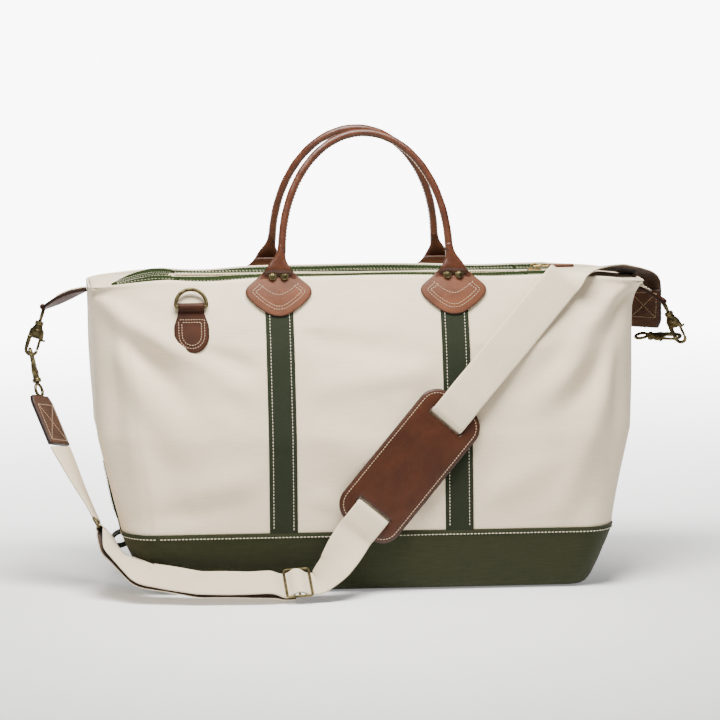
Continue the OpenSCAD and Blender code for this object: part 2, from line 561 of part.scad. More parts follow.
front_panel();
back_panel();
base_boot();
base_panel();
base_board();
inner_pocket();
front_strap_left();
front_strap_right();
back_strap_left();
back_strap_right();
end_strip_left();
end_strip_right();
end_loop_left();
end_loop_right();
top_gusset_left();
top_gusset_right();
zip_end_left();
zip_end_right();
zip_flap_front();
zip_flap_back();
zip_tape_front();
zip_tape_back();
zip_teeth_front();
zip_teeth_back();
zip_slider();
zip_pull();
zip_pull_tab();
handle_front();
handle_back();
handle_core_front();
handle_core_back();
chape_front_left();
chape_front_right();
chape_back_left();
chape_back_right();
chape_rivets();
ring_tab();
d_ring();
wing_tab_left();
wing_tab_right();
wing_snap_left();
wing_snap_right();
strap_snap_left();
strap_snap_right();
wing_eye_left();
wing_eye_right();
strap_eye_left();
strap_eye_right();
wing_gate_left();
wing_gate_right();
strap_gate_left();
strap_gate_right();
strap_end_left();
strap_end_right();
strap_short();
strap_loop();
strap_main();
strap_slide();
shoulder_pad();
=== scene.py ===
import math

import bpy
import numpy as np
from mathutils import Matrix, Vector, noise

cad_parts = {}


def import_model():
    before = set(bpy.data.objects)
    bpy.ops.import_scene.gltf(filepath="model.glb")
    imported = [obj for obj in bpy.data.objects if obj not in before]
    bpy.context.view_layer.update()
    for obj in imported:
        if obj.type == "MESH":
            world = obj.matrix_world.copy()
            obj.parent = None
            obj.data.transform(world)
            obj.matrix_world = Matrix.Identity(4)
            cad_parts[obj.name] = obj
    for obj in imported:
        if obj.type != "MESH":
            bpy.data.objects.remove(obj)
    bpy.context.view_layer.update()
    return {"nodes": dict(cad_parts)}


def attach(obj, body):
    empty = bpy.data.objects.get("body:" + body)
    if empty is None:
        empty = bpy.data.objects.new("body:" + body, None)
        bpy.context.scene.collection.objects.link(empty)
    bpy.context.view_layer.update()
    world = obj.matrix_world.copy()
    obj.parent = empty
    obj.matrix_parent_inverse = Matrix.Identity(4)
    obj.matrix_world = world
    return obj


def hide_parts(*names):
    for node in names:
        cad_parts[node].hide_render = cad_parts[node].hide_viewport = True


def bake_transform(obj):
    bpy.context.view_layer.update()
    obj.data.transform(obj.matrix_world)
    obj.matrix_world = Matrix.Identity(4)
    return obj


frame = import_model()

scene = bpy.context.scene
MM = 0.001


# ---------------------------------------------------------------- camera
CAMERA_AZIMUTH = -6.3
CAMERA_ELEVATION = 7.8
CAMERA_DISTANCE = 3.5
CAMERA_TARGET = (-0.0115, -0.111, 0.2345)
CAMERA_LENS = 174.8


def make_camera():
    data = bpy.data.cameras.new("camera")
    data.lens = CAMERA_LENS
    data.sensor_width = 36.0
    camera = bpy.data.objects.new("camera", data)
    scene.collection.objects.link(camera)
    az, el = math.radians(CAMERA_AZIMUTH), math.radians(CAMERA_ELEVATION)
    away = Vector((math.sin(az) * math.cos(el), -math.cos(az) * math.cos(el), math.sin(el)))
    camera.location = Vector(CAMERA_TARGET) + CAMERA_DISTANCE * away
    camera.rotation_euler = (-away).to_track_quat("-Z", "Y").to_euler()
    scene.camera = camera


make_camera()


# ---------------------------------------------------------------- node helpers
def node(tree, kind, settings=None, **inputs):
    """A shader node; inputs are values or sockets, by name, or by number as i0, i1."""
    made = tree.nodes.new(kind)
    for key, value in (settings or {}).items():
        setattr(made, key, value)
    for key, value in inputs.items():
        by_number = key[0] == "i" and key[1:].isdigit()
        socket = made.inputs[int(key[1:]) if by_number else key]
        if isinstance(value, bpy.types.NodeSocket):
            tree.links.new(value, socket)
        else:
            socket.default_value = value
    return made


def calc(tree, operation, a, b=0.0):
    return node(tree, "ShaderNodeMath", {"operation": operation}, i0=a, i1=b).outputs[0]


def times(tree, a, b):
    return calc(tree, "MULTIPLY", a, b)


def plus(tree, a, b):
    return calc(tree, "ADD", a, b)


def sine(tree, value, period):
    return calc(tree, "SINE", times(tree, value, 2 * math.pi / period))


def ramp(tree, factor, stops):
    """Colour ramp with (position, colour) stops."""
    made = node(tree, "ShaderNodeValToRGB", i0=factor)
    elements = made.color_ramp.elements
    while len(elements) < len(stops):
        elements.new(0.5)
    for element, (position, colour) in zip(elements, stops):
        element.position = position
        element.color = (*colour, 1.0)
    return made.outputs[0]


def mix(tree, factor, a, b):
    """Colour a, turning to the plain colour b as factor goes to 1."""
    made = node(tree, "ShaderNodeMix", {"data_type": "RGBA"}, i0=factor, i6=a, i7=(*b, 1.0))
    return made.outputs[2]


def remap(tree, value, low, high, to_low, to_high):
    return node(tree, "ShaderNodeMapRange", i0=value, i1=low, i2=high, i3=to_low, i4=to_high).outputs[0]


def stretched_noise(tree, coords, scale, detail=3.0):
    """Noise whose features are 1/scale long each way, in the units of coords."""
    mapped = node(tree, "ShaderNodeMapping", Vector=coords, Scale=scale).outputs[0]
    made = node(tree, "ShaderNodeTexNoise", Vector=mapped, Scale=1.0, Detail=detail, Roughness=0.55)
    return made.outputs[0]


def emboss(tree, shader, height, depth, strength):
    """Bump whose height is 0 to 1 of depth, in millimetres."""
    made = node(tree, "ShaderNodeBump", Height=height, Distance=depth * MM, Strength=strength)
    tree.links.new(made.outputs[0], shader.inputs["Normal"])


def tint(tree, shader, colour, shade):
    """The colour, made lighter and darker by shade, as the shader's own."""
    made = node(tree, "ShaderNodeVectorMath", {"operation": "SCALE"}, i0=colour, Scale=shade)
    tree.links.new(made.outputs[0], shader.inputs["Base Color"])


def uv_parts(tree):
    """The UV map, and its u and v."""
    uv = node(tree, "ShaderNodeUVMap").outputs[0]
    parts = node(tree, "ShaderNodeSeparateXYZ", i0=uv)
    return uv, parts.outputs[0], parts.outputs[1]


def new_material(name, **values):
    """A material with a Principled shader; values are set on the shader's own sockets."""
    material = bpy.data.materials.new(name)
    material.use_nodes = True
    tree = material.node_tree
    shader = tree.nodes["Principled BSDF"]
    for key, value in values.items():
        shader.inputs[key.replace("_", " ")].default_value = value
    return material, tree, shader


def linear(*screen):
    """A colour given as it looks on a screen, 0 to 255, as the shader's linear colour."""
    return tuple((c / 255 / 12.92) if c <= 10 else ((c / 255 + 0.055) / 1.055) ** 2.4 for c in screen)


# ---------------------------------------------------------------- materials
def fabric(name, colour, pitch, depth, slub=0.1, twill=False, mottle=0.06, rough=0.88, sheen=0.25,
           gloss=0.2):
    """Woven cloth, its UV map in millimetres, u along the weft. pitch is the thread spacing."""
    material, tree, shader = new_material(name, Sheen_Weight=sheen, Sheen_Roughness=0.5,
                                          Specular_IOR_Level=gloss)
    uv, u, v = uv_parts(tree)
    if twill:
        rib = sine(tree, plus(tree, u, v), pitch)
        thread = sine(tree, calc(tree, "SUBTRACT", u, v), 2 * pitch)
        weave = plus(tree, rib, times(tree, thread, 0.35))
    else:
        weave = times(tree, sine(tree, u, pitch), sine(tree, v, pitch))
    streak = stretched_noise(tree, uv, (0.045, 0.75, 1.0))
    warp = stretched_noise(tree, uv, (0.9, 0.06, 1.0))
    cloud = stretched_noise(tree, uv, (0.013, 0.017, 1.0), detail=2.0)
    tone = plus(tree, times(tree, streak, 0.6), times(tree, warp, 0.25))
    tone = plus(tree, tone, times(tree, cloud, 0.35))
    shade = remap(tree, tone, 0.38, 0.82, 1 - mottle * 1.6, 1 + mottle)
    tint(tree, shader, colour, times(tree, shade, remap(tree, weave, -1.0, 1.0, 0.965, 1.02)))
    tree.links.new(remap(tree, cloud, 0.3, 0.7, rough - 0.05, rough + 0.05), shader.inputs["Roughness"])
    emboss(tree, shader, plus(tree, times(tree, weave, 0.5), times(tree, streak, slub * 10)), depth, 0.8)
    return material


def leather_material(name, light, dark, rough=0.42, wear=1.0, gloss=0.35):
    """Smooth leather, mottled, with a fine grain, darker where the 'edge' attribute rises to 1."""
    material, tree, shader = new_material(name, Specular_IOR_Level=gloss, Coat_Weight=0.04,
                                          Coat_Roughness=0.3)
    uv = uv_parts(tree)[0]
    cloud = stretched_noise(tree, uv, (0.035, 0.05, 1.0), detail=4.0)
    pores = node(tree, "ShaderNodeTexVoronoi", {"feature": "DISTANCE_TO_EDGE"}, Vector=uv,
                 Scale=1 / LEATHER_GRAIN, Randomness=1.0).outputs[0]
    creases = stretched_noise(tree, uv, (0.22, 0.5, 1.0), detail=6.0)
    middle = tuple((a + b) / 2 for a, b in zip(light, dark))
    base = ramp(tree, cloud, [(0.30, dark), (0.52, middle), (0.72, light)])
    pore_shade = remap(tree, pores, 0.0, 0.16, 0.86, 1.0)
    base = node(tree, "ShaderNodeVectorMath", {"operation": "SCALE"}, i0=base, Scale=pore_shade).outputs[0]
    edge = node(tree, "ShaderNodeAttribute", {"attribute_name": "edge"}).outputs["Fac"]
    rubbed = times(tree, times(tree, edge, wear), remap(tree, creases, 0.35, 0.65, 0.75, 1.0))
    base = mix(tree, rubbed, base, tuple(c * WORN_EDGE for c in dark))
    tree.links.new(base, shader.inputs["Base Color"])
    tree.links.new(remap(tree, creases, 0.3, 0.7, rough - 0.07, rough + 0.12), shader.inputs["Roughness"])
    grain = times(tree, remap(tree, pores, 0.0, 0.2, 0.0, 1.0), 0.35)
    emboss(tree, shader, plus(tree, grain, creases), 0.16, 0.75)
    return material


def webbing_material(name, colour):
    """Heavy cotton webbing: cross ribs in zigzags and a finer cord along it. UV in millimetres."""
    material, tree, shader = new_material(name, Sheen_Weight=0.3, Sheen_Roughness=0.5, Specular_IOR_Level=0.2,
                                          Roughness=0.9)
    uv, u, v = uv_parts(tree)
    zigzag = calc(tree, "PINGPONG", u, 2.4)
    rib = sine(tree, plus(tree, v, times(tree, zigzag, 0.5)), 1.7)
    weave = plus(tree, times(tree, rib, 0.6), times(tree, sine(tree, u, 1.2), 0.4))
    fuzz = stretched_noise(tree, uv, (0.55, 0.3, 1.0), detail=5.0)
    cloud = stretched_noise(tree, uv, (0.03, 0.02, 1.0), detail=2.0)
    shade = times(tree, remap(tree, weave, -1.0, 1.0, 0.90, 1.03), remap(tree, fuzz, 0.3, 0.7, 0.95, 1.03))
    tint(tree, shader, colour, times(tree, shade, remap(tree, cloud, 0.3, 0.7, 0.96, 1.02)))
    emboss(tree, shader, plus(tree, weave, times(tree, fuzz, 0.8)), 0.16, 0.9)
    return material


def metal_material(name, bright, dark, rough=0.38):
    """Aged brass: dark patina, rubbed bright in patches and on the high spots."""
    material, tree, shader = new_material(name, Metallic=0.92, Specular_IOR_Level=0.5)
    place = node(tree, "ShaderNodeTexCoord").outputs["Object"]
    patches, specks = (node(tree, "ShaderNodeTexNoise", Vector=place, **settings).outputs[0] for settings in
                       ({"Scale": 240.0, "Detail": 5.0, "Roughness": 0.6}, {"Scale": 1800.0, "Detail": 2.0}))
    high = node(tree, "ShaderNodeNewGeometry").outputs["Pointiness"]
    worn = plus(tree, remap(tree, patches, 0.42, 0.66, 0.0, 0.75), remap(tree, high, 0.51, 0.58, 0.0, 0.6))
    worn = times(tree, worn, remap(tree, specks, 0.35, 0.6, 0.7, 1.0))
    tree.links.new(ramp(tree, worn, [(0.0, dark), (1.0, bright)]), shader.inputs["Base Color"])
    tree.links.new(remap(tree, worn, 0.0, 1.0, rough + 0.16, rough - 0.08), shader.inputs["Roughness"])
    emboss(tree, shader, specks, 0.05, 0.4)
    return material


def thread_material(name, colour):
    material, tree, shader = new_material(name, Sheen_Weight=0.2, Roughness=0.65, Specular_IOR_Level=0.3)
    place = node(tree, "ShaderNodeTexCoord").outputs["Object"]
    ply = node(tree, "ShaderNodeTexNoise", Vector=place, Scale=1400.0, Detail=2.0).outputs[0]
    tint(tree, shader, colour, remap(tree, ply, 0.3, 0.7, 0.82, 1.04))
    emboss(tree, shader, ply, 0.1, 0.5)
    return material


LEATHER_GRAIN = 0.9
WORN_EDGE = 0.34
CANVAS = fabric("canvas", linear(242, 223, 192), 0.95, 0.10, slub=0.16, mottle=0.07)
LINING = fabric("lining", linear(206, 194, 170), 0.8, 0.06, slub=0.06, mottle=0.04)
GREEN_STRAP = fabric("green_strap", linear(33, 39, 22), 1.1, 0.14, twill=True, mottle=0.10, sheen=0.10)
GREEN_BOOT = fabric("green_boot", linear(47, 50, 30), 1.1, 0.12, slub=0.12, twill=True, mottle=0.16,
                    sheen=0.08)
# the facings are seen along their surface, where gloss and sheen would turn them white
GREEN_FACING = fabric("green_facing", linear(40, 50, 29), 1.0, 0.12, twill=True, mottle=0.09, sheen=0.0,
                      gloss=0.0)
ZIP_TAPE = fabric("zip_tape", linear(226, 212, 176), 0.7, 0.06, slub=0.04, twill=True, mottle=0.03)
# the underside of the strap's webbing is given this dark brown
STRAP_DARK_UNDERSIDE = fabric("strap_dark_underside", linear(72, 52, 38), 0.9, 0.12, slub=0.08, mottle=0.12, rough=0.92)
WEBBING = webbing_material("webbing", linear(240, 222, 190))
LEATHER = leather_material("leather", linear(116, 68, 42), linear(86, 48, 29))
HANDLE_LEATHER = leather_material("handle_leather", linear(88, 48, 28), linear(60, 31, 19), rough=0.34,
                                  wear=0.8)
PAD_LEATHER = leather_material("pad_leather", linear(76, 38, 18), linear(60, 29, 13), rough=0.38)
END_LEATHER = leather_material("end_leather", linear(80, 47, 32), linear(56, 32, 22), rough=0.45)
DARK_LEATHER = leather_material("dark_leather", linear(70, 37, 20), linear(50, 26, 14), rough=0.55,
                                gloss=0.15)
BRASS = metal_material("antique_brass", linear(124, 112, 76), linear(36, 32, 20))
ZIP_METAL = metal_material("zip_metal", linear(190, 162, 104), linear(104, 82, 46), rough=0.34)
THREAD = thread_material("thread", linear(222, 214, 190))
LEATHER_THREAD = thread_material("leather_thread", linear(206, 180, 148))
CORE_CORD = fabric("core_cord", linear(200, 188, 160), 1.6, 0.2, twill=True)
BOARD = fabric("board", linear(96, 84, 66), 2.2, 0.05, mottle=0.12)


# ---------------------------------------------------------------- mesh helpers
def unit(v):
    v = np.asarray(v, float)
    length = np.linalg.norm(v)
    return v / length if length > 1e-12 else v


class Build:
    """Collects points, faces, UVs and edge values in millimetres: one piece can hold several shapes."""

    def __init__(self):
        self.verts, self.faces, self.uv, self.edge, self.index = [], [], [], [], []

    def grid(self, points, closed=False, uv=None, edge=None, index=0, flip=False):
        """Faces over a grid of points, points[row][column], closed round the columns or not."""
        rows, columns = len(points), len(points[0])
        start = len(self.verts)
        for i in range(rows):
            for j in range(columns):
                self.verts.append(points[i][j])
                self.uv.append(uv[i][j] if uv is not None else (0.0, 0.0))
                self.edge.append(edge[i][j] if edge is not None else 0.0)
        for i in range(rows - 1):
            for j in range(columns if closed else columns - 1):
                k = (j + 1) % columns
                face = (start + i * columns + j, start + i * columns + k,
                        start + (i + 1) * columns + k, start + (i + 1) * columns + j)
                self.faces.append(face[::-1] if flip else face)
                self.index.append(index if not callable(index) else index(i, j))
        return start

    def solid(self, rings, uv=None, edge=None, index=0, flip=False):
        """A skin over closed rings, with a cap at each end."""
        start = self.grid(rings, closed=True, uv=uv, edge=edge, index=index, flip=flip)
        count = len(rings[0])
        first = list(range(start, start + count))
        last = [point + (len(rings) - 1) * count for point in first]
        self.cap(first if flip else first[::-1])
        self.cap(last[::-1] if flip else last)

    def cap(self, ring):
        """One face over a ring of point numbers."""
        self.faces.append(tuple(ring))
        self.index.append(0)

    def piece(self, name, materials, slot, body="bag", replaces=()):
        """The Blender object, which rides on body, or on nothing when body is empty."""
        data = bpy.data.meshes.new(name)
        data.from_pydata([tuple(float(c) * MM for c in v) for v in self.verts], [], self.faces)
        data.validate()
        for material in materials if isinstance(materials, list) else [materials]:
            data.materials.append(material)
        data.polygons.foreach_set("use_smooth", [True] * len(data.polygons))
        if len(self.index) == len(data.polygons):
            data.polygons.foreach_set("material_index", self.index)
        corners = np.zeros(len(data.loops), dtype=np.int32)
        data.loops.foreach_get("vertex_index", corners)
        layer = data.uv_layers.new(name="UVMap")
        layer.data.foreach_set("uv", np.array(self.uv, dtype=np.float32)[corners].ravel())
        attribute = data.attributes.new("edge", "FLOAT", "POINT")
        attribute.data.foreach_set("value", [float(e) for e in self.edge])
        made = bpy.data.objects.new(name, data)
        scene.collection.objects.link(made)
        if replaces:
            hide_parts(*replaces)
        if body:
            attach(made, body)
        return made


def resample(points, step, closed=False):
    """Points at an even spacing of about step along a polyline, with their distances along it."""
    pts = np.asarray(points, float)
    if closed:
        pts = np.vstack([pts, pts[:1]])
    lengths = np.concatenate([[0], np.cumsum(np.linalg.norm(np.diff(pts, axis=0), axis=1))])
    count = max(2, int(round(lengths[-1] / step)) + 1)
    at = np.linspace(0, lengths[-1], count)
    if closed:
        at = at[:-1]
    return np.stack([np.interp(at, lengths, pts[:, k]) for k in range(pts.shape[1])], axis=1), at


def smoothed(values, passes, keep_ends=2):
    values = np.array(values, float)
    for _ in range(passes):
        inner = values.copy()
        inner[1:-1] = 0.25 * values[:-2] + 0.5 * values[1:-1] + 0.25 * values[2:]
        inner[:keep_ends], inner[-keep_ends:] = values[:keep_ends], values[-keep_ends:]
        values = inner
    return values


def headings(points, closed=False):
    pts = np.asarray(points, float)
    if closed:
        return np.array([unit(b - a) for a, b in zip(np.roll(pts, 1, 0), np.roll(pts, -1, 0))])
    return np.array([unit(pts[min(i + 1, len(pts) - 1)] - pts[max(i - 1, 0)]) for i in range(len(pts))])


def tube(build, points, radius, sides=12, closed=False, start_up=(0.0, 0.0, 1.0), flatten=None,
         seam_edge=None):
    """A round tube along a path. radius is a number or one a point; flatten gives (across, up) factors."""
    pts = np.asarray(points, float)
    n = len(pts)
    along = headings(pts, closed)
    radii = np.full(n, radius) if np.isscalar(radius) else np.asarray(radius, float)
    up = unit(np.asarray(start_up, float) - along[0] * np.dot(start_up, along[0]))
    if np.linalg.norm(up) < 0.5:
        up = unit(np.cross(along[0], (1.0, 0.3, 0.2)))
    rings, uvs, edges = [], [], []
    distance = 0.0
    for i in range(n):
        up = unit(up - along[i] * np.dot(up, along[i]))
        side = np.cross(along[i], up)
        a, b = flatten[i] if flatten is not None else (1.0, 1.0)
        if i:
            distance += np.linalg.norm(pts[i] - pts[i - 1])
        ring, uv, edge = [], [], []
        for j in range(sides):
            angle = 2 * math.pi * j / sides
            ring.append(pts[i] + radii[i] * (math.cos(angle) * side * a + math.sin(angle) * up * b))
            uv.append((abs(angle - math.pi) * radii[i], distance))
            edge.append(seam_edge(angle) if seam_edge else 0.0)
        rings.append(ring)
        uvs.append(uv)
        edges.append(edge)
    if closed:
        rings.append(rings[0])
        uvs.append([(u, distance) for u, _ in uvs[0]])
        edges.append(edges[0])
        build.grid(rings, closed=True, uv=uvs, edge=edges, flip=True)
    else:
        build.solid(rings, uv=uvs, edge=edges, flip=True)


def lathe(build, profile, place, sides=24):
    """A turned shape: profile is (radius, height) up place's Z."""
    turns = [2 * math.pi * j / sides for j in range(sides)]
    build.solid([[put(place, (r * math.cos(a), r * math.sin(a), z)) for a in turns] for r, z in profile])


def rounded_outline(x0, x1, half, corner, steps, narrow=0.0):
    """A rectangle's outline from x0 to x1 with round corners, narrower at x1 by narrow each side."""
    outline = []
    for cx, cy, begin in ((x1 - corner, half - narrow - corner, 0), (x0 + corner, half - corner, 90),
                          (x0 + corner, -half + corner, 180), (x1 - corner, -half + narrow + corner, 270)):
        angles = [math.radians(begin + 90 * k / (steps - 1)) for k in range(steps)]
        outline += [(cx + corner * math.cos(a), cy + corner * math.sin(a)) for a in angles]
    return outline


def superellipse(wide, deep, power, sides):
    """Points round a softened rectangle, squarer as power goes to 0."""
    points = []
    for j in range(sides):
        c, s = math.cos(2 * math.pi * j / sides), math.sin(2 * math.pi * j / sides)
        points.append((wide * math.copysign(abs(c) ** power, c), deep * math.copysign(abs(s) ** power, s)))
    return points


def frame_at(at, along, across):
    """A 4x4 with X along, Y across and Z out."""
    x = unit(along)
    y = unit(np.asarray(across, float) - x * np.dot(across, x))
    z = np.cross(x, y)
    made = np.eye(4)
    made[:3, 0], made[:3, 1], made[:3, 2], made[:3, 3] = x, y, z, at
    return made


def put(place, point):
    return (place @ np.array([*point, 1.0]))[:3]


# ---------------------------------------------------------------- stitches
STITCH_PITCH = 3.3
STITCH_LENGTH = 2.35
STITCH_RADIUS = 0.42
STITCH_SIDES = 6


def stitches(build, path, normals, pitch=STITCH_PITCH, length=STITCH_LENGTH, radius=STITCH_RADIUS,
             closed=False):
    """A row of raised thread stitches along a path that lies on a surface with these normals."""
    data = np.hstack([np.asarray(path, float), np.asarray(normals, float)])
    dense, at = resample(data, 0.8, closed)
    total = at[-1]
    count = int((total - length) / pitch) + 1
    slack = (total - (count - 1) * pitch - length) / 2
    for k in range(count):
        begin = slack + k * pitch
        stops = np.linspace(begin, begin + length, 4)
        centre = np.stack([np.interp(stops, at, dense[:, c]) for c in range(6)], axis=1)
        along = unit(centre[-1, :3] - centre[0, :3])
        up = unit(centre[1, 3:] - along * np.dot(centre[1, 3:], along))
        side = np.cross(along, up)
        rings = []
        for i, (lift, size) in enumerate(((-0.25, 0.35), (0.55, 1.0), (0.55, 1.0), (-0.25, 0.35))):
            middle = centre[i, :3] + up * lift * radius
            rings.append([middle + size * radius * (math.cos(a) * side + math.sin(a) * up)
                          for a in (2 * math.pi * j / STITCH_SIDES for j in range(STITCH_SIDES))])
        build.solid(rings, flip=True)


# ---------------------------------------------------------------- the body's surface
LEVEL_Z = [0, 60, 155, 245, 312]
LEVEL_HALF_LENGTH = [223, 250, 272, 277, 280]
LEVEL_HALF_DEPTH = [111, 118, 108, 84, 58]
LEVEL_CORNER = [24, 34, 42, 38, 22]
BODY_TOP = 312.0
BOOT_TOP = 60.0
END_DROP, DROP_START = 9.0, 200.0
STRAP_X, STRAP_HALF = 89.0, 14.0
CHAPE_LOW = 262.0
FRONT_STEPS, CORNER_STEPS, SIDE_STEPS = 132, 9, 26
RIM_DIPS = [(-163.0, 40.0, -3.6), (128.0, 45.0, -1.6), (20.0, 60.0, 0.8), (245.0, 22.0, 1.5)]


def level(values, z):
    return float(np.interp(z, LEVEL_Z, values))


def end_drop(x):
    """How far the rim drops towards the bag's two ends."""
    return END_DROP * between(abs(x), DROP_START, LEVEL_HALF_LENGTH[-1])


def rim_wave(x):
    """How the soft top edge rises and falls along the mouth."""
    return sum(size * math.exp(-((x - at) / width) ** 2) for at, width, size in RIM_DIPS)


def ring_points(z, inset=0.0):
    """The outline at one height: the front from left to right, and on round the back."""
    radius = max(4.0, level(LEVEL_CORNER, z) - inset)
    reach, depth = level(LEVEL_HALF_LENGTH, z) - inset, level(LEVEL_HALF_DEPTH, z) - inset
    mid_x, mid_y = reach - radius, depth - radius

    def run(start, end, steps, first, last):
        return [tuple(a + (b - a) * i / steps for a, b in zip(start, end)) for i in range(first, last)]

    def turn(x, y, quarter, first, last):
        """Part of the corner round (x, y); quarter 0 begins at -Y."""
        angles = [math.pi / 2 * (quarter - 1 + i / CORNER_STEPS) for i in range(first, last)]
        return [(x + radius * math.cos(a), y + radius * math.sin(a)) for a in angles]
    front = run((-mid_x, -depth), (mid_x, -depth), FRONT_STEPS, 0, FRONT_STEPS + 1)
    right = run((reach, -mid_y), (reach, mid_y), SIDE_STEPS, 1, SIDE_STEPS)
    back = run((mid_x, depth), (-mid_x, depth), FRONT_STEPS, 1, FRONT_STEPS + 1)
    left = run((-reach, mid_y), (-reach, -mid_y), SIDE_STEPS, 1, SIDE_STEPS)
    return np.array(front + turn(mid_x, -mid_y, 0, 1, CORNER_STEPS + 1) + right
                    + turn(mid_x, mid_y, 1, 0, CORNER_STEPS + 1) + back
                    + turn(-mid_x, mid_y, 2, 1, CORNER_STEPS + 1) + left
                    + turn(-mid_x, -mid_y, 3, 0, CORNER_STEPS))


def outward(ring):
    """The level unit normal at each point of a closed outline."""
    ring = np.asarray(ring, float)
    steps = np.roll(ring, -1, 0) - np.roll(ring, 1, 0)
    return [unit((step[1], -step[0])) for step in steps]


def between(value, low, high):
    """0 at low and before it, rising to 1 at high and after it."""
    return max(0.0, min(1.0, (value - low) / (high - low)))


# folds of the canvas: centre (x, z), length, width, angle from +X, height
FRONT_FOLDS = [
    (-236, 262, 62, 13, -42, 3.4), (-222, 240, 70, 15, -52, -3.4), (-205, 250, 60, 12, -30, 2.2),
    (-188, 222, 80, 17, -28, -2.4), (-232, 205, 55, 16, -62, 2.6), (-216, 160, 60, 18, -74, -2.0),
    (-150, 206, 60, 14, -16, 1.6), (-140, 232, 46, 10, -20, -1.6), (-128, 110, 70, 18, 14, 1.4),
    (232, 262, 60, 13, 48, 3.2), (240, 238, 66, 14, 58, -3.6), (222, 226, 60, 14, 44, 2.6),
    (246, 196, 60, 14, 72, 2.4), (205, 236, 60, 15, 36, -2.0), (236, 150, 70, 18, 80, -2.2),
    (212, 120, 60, 16, 66, 1.8), (176, 176, 70, 18, 34, -1.4), (150, 110, 60, 16, 24, 1.4),
    (-20, 246, 70, 12, -6, -1.5), (10, 214, 80, 14, 8, 1.5), (-34, 150, 80, 18, -12, 1.3),
    (30, 96, 80, 16, 10, -1.4), (-30, 86, 60, 12, -14, 1.2), (-176, 84, 60, 13, 12, -1.6),
]
FOLD_SCALE = 2.6


def fold_height(x, z, back):
    """The height of the canvas's folds over its flat shape, with a different set of folds behind."""
    mirror = -1.0 if back else 1.0
    total = 0.0
    for cx, cz, length, width, angle, height in FRONT_FOLDS:
        a = math.radians(angle * mirror)
        dx, dz = x - cx * mirror, z - cz
        along, off = dx * math.cos(a) + dz * math.sin(a), -dx * math.sin(a) + dz * math.cos(a)
        total += FOLD_SCALE * height * math.exp(-((along / length) ** 2 + (off / width) ** 2))
    total += 1.6 * noise.noise(Vector((x * 0.011, z * 0.017, 3.0 + mirror)))
    total += 0.5 * noise.noise(Vector((x * 0.035, z * 0.05, 9.0 + mirror)))
    return total


def held_flat(x, z):
    """1 where the canvas is free, falling to 0 where straps, tabs and seams hold it."""
    free = between(z, BOOT_TOP, BOOT_TOP + 26) * between(z, BODY_TOP, BODY_TOP - 22)
    for at in (-STRAP_X, STRAP_X):
        free *= min(1.0, 0.12 + max(0.0, abs(x - at) - STRAP_HALF) / 34.0)
        if z > CHAPE_LOW:
            free *= between(abs(x - at), 36, 56)
    return free * free * (3 - 2 * free)


def arch(z):
    """0 at the boot and at the rim, and 1 halfway."""
    return math.sin(math.pi * between(z, BOOT_TOP, BODY_TOP))


def bulge(x, z):
    """The stuffed bag's gentle crown between its seams, outwards, with its ends drawn in."""
    across = math.cos(math.pi / 2 * min(1.0, abs(x) / 262.0))
    panels = sum(math.exp(-((x - at) / 46.0) ** 2) for at in (-176.0, 0.0, 176.0))
    drawn_in = between(abs(x), 162.0, 262.0) ** 2
    return arch(z) * (1.6 * across + 1.8 * panels) - 14.0 * math.sqrt(arch(z)) * drawn_in


def corner_flare(x, z):
    """How far the right end's top edge stands out, held up by the strap's pull."""
    return 10.5 * between(x, 215.0, 277.0) ** 1.5 * max(0.0, (z - 276.0) / (BODY_TOP - 276.0)) ** 1.4


def end_wave(x, y, z):
    """The soft upright folds of the two ends, between the gusset and the boot."""
    drift = noise.noise(Vector((y * 0.03, z * 0.012, 5.0 + math.copysign(2, x))))
    return arch(z) * (1.2 * drift + math.sin(y * 0.055 + z * 0.01 + x * 0.01))


def build_surface(inset=0.0, rows=64):
    """The canvas as a grid [height][round], folds and crown included, and the grid's heights."""
    heights = np.concatenate([np.linspace(BOOT_TOP - 3, 200, rows // 2, endpoint=False),
                              np.linspace(200, BODY_TOP, rows // 2 + 1)])
    grid = []
    for z in heights:
        base = ring_points(z, inset)
        ring = []
        for (x, y), out in zip(base, outward(base)):
            facing = min(1.0, abs(out[1]) * 1.4)
            size = (held_flat(x, z) * fold_height(x, z, y > 0) + bulge(x, z)) * facing
            size += max(0.0, abs(out[0]) - 0.35) / 0.65 * end_wave(x, y, z)
            free_top = max(0.0, (z - 290.0) / (BODY_TOP - 290.0))
            height = z - end_drop(x) * free_top + rim_wave(x) * free_top * abs(out[1])
            ring.append((x + out[0] * size + corner_flare(x, z), y + out[1] * size, height))
        grid.append(ring)
    return np.array(grid), heights


SURFACE, SURFACE_Z = build_surface()
FRONT_COLUMNS = slice(0, FRONT_STEPS + 1)
BACK_START = FRONT_STEPS + 1 + CORNER_STEPS + SIDE_STEPS - 1 + 1 + CORNER_STEPS
BACK_COLUMNS = slice(BACK_START, BACK_START + FRONT_STEPS)


def on_panel(x, z, out=0.0, back=False):
    """The point over the canvas of the front or back at a given x and unsagged height z, and its normal."""
    def point(px, pz):
        row = min(max(np.searchsorted(SURFACE_Z, pz) - 1, 0), len(SURFACE_Z) - 2)
        share = (pz - SURFACE_Z[row]) / (SURFACE_Z[row + 1] - SURFACE_Z[row])
        found = []
        for level_row in SURFACE[row:row + 2]:
            line = level_row[BACK_COLUMNS][::-1] if back else level_row[FRONT_COLUMNS]
            found.append(np.array([px, *(np.interp(px, line[:, 0], line[:, k]) for k in (1, 2))]))
        return found[0] * (1 - share) + found[1] * share
    here = point(x, z)
    dx, dz = point(x + 2, z) - point(x - 2, z), point(x, min(z + 2, BODY_TOP)) - point(x, z - 2)
    normal = unit(np.cross(dx, dz))
    if (normal[1] > 0) != back:
        normal = -normal
    return here + normal * out, normal


# ---------------------------------------------------------------- canvas shell
SHELL_THICKNESS = 2.4


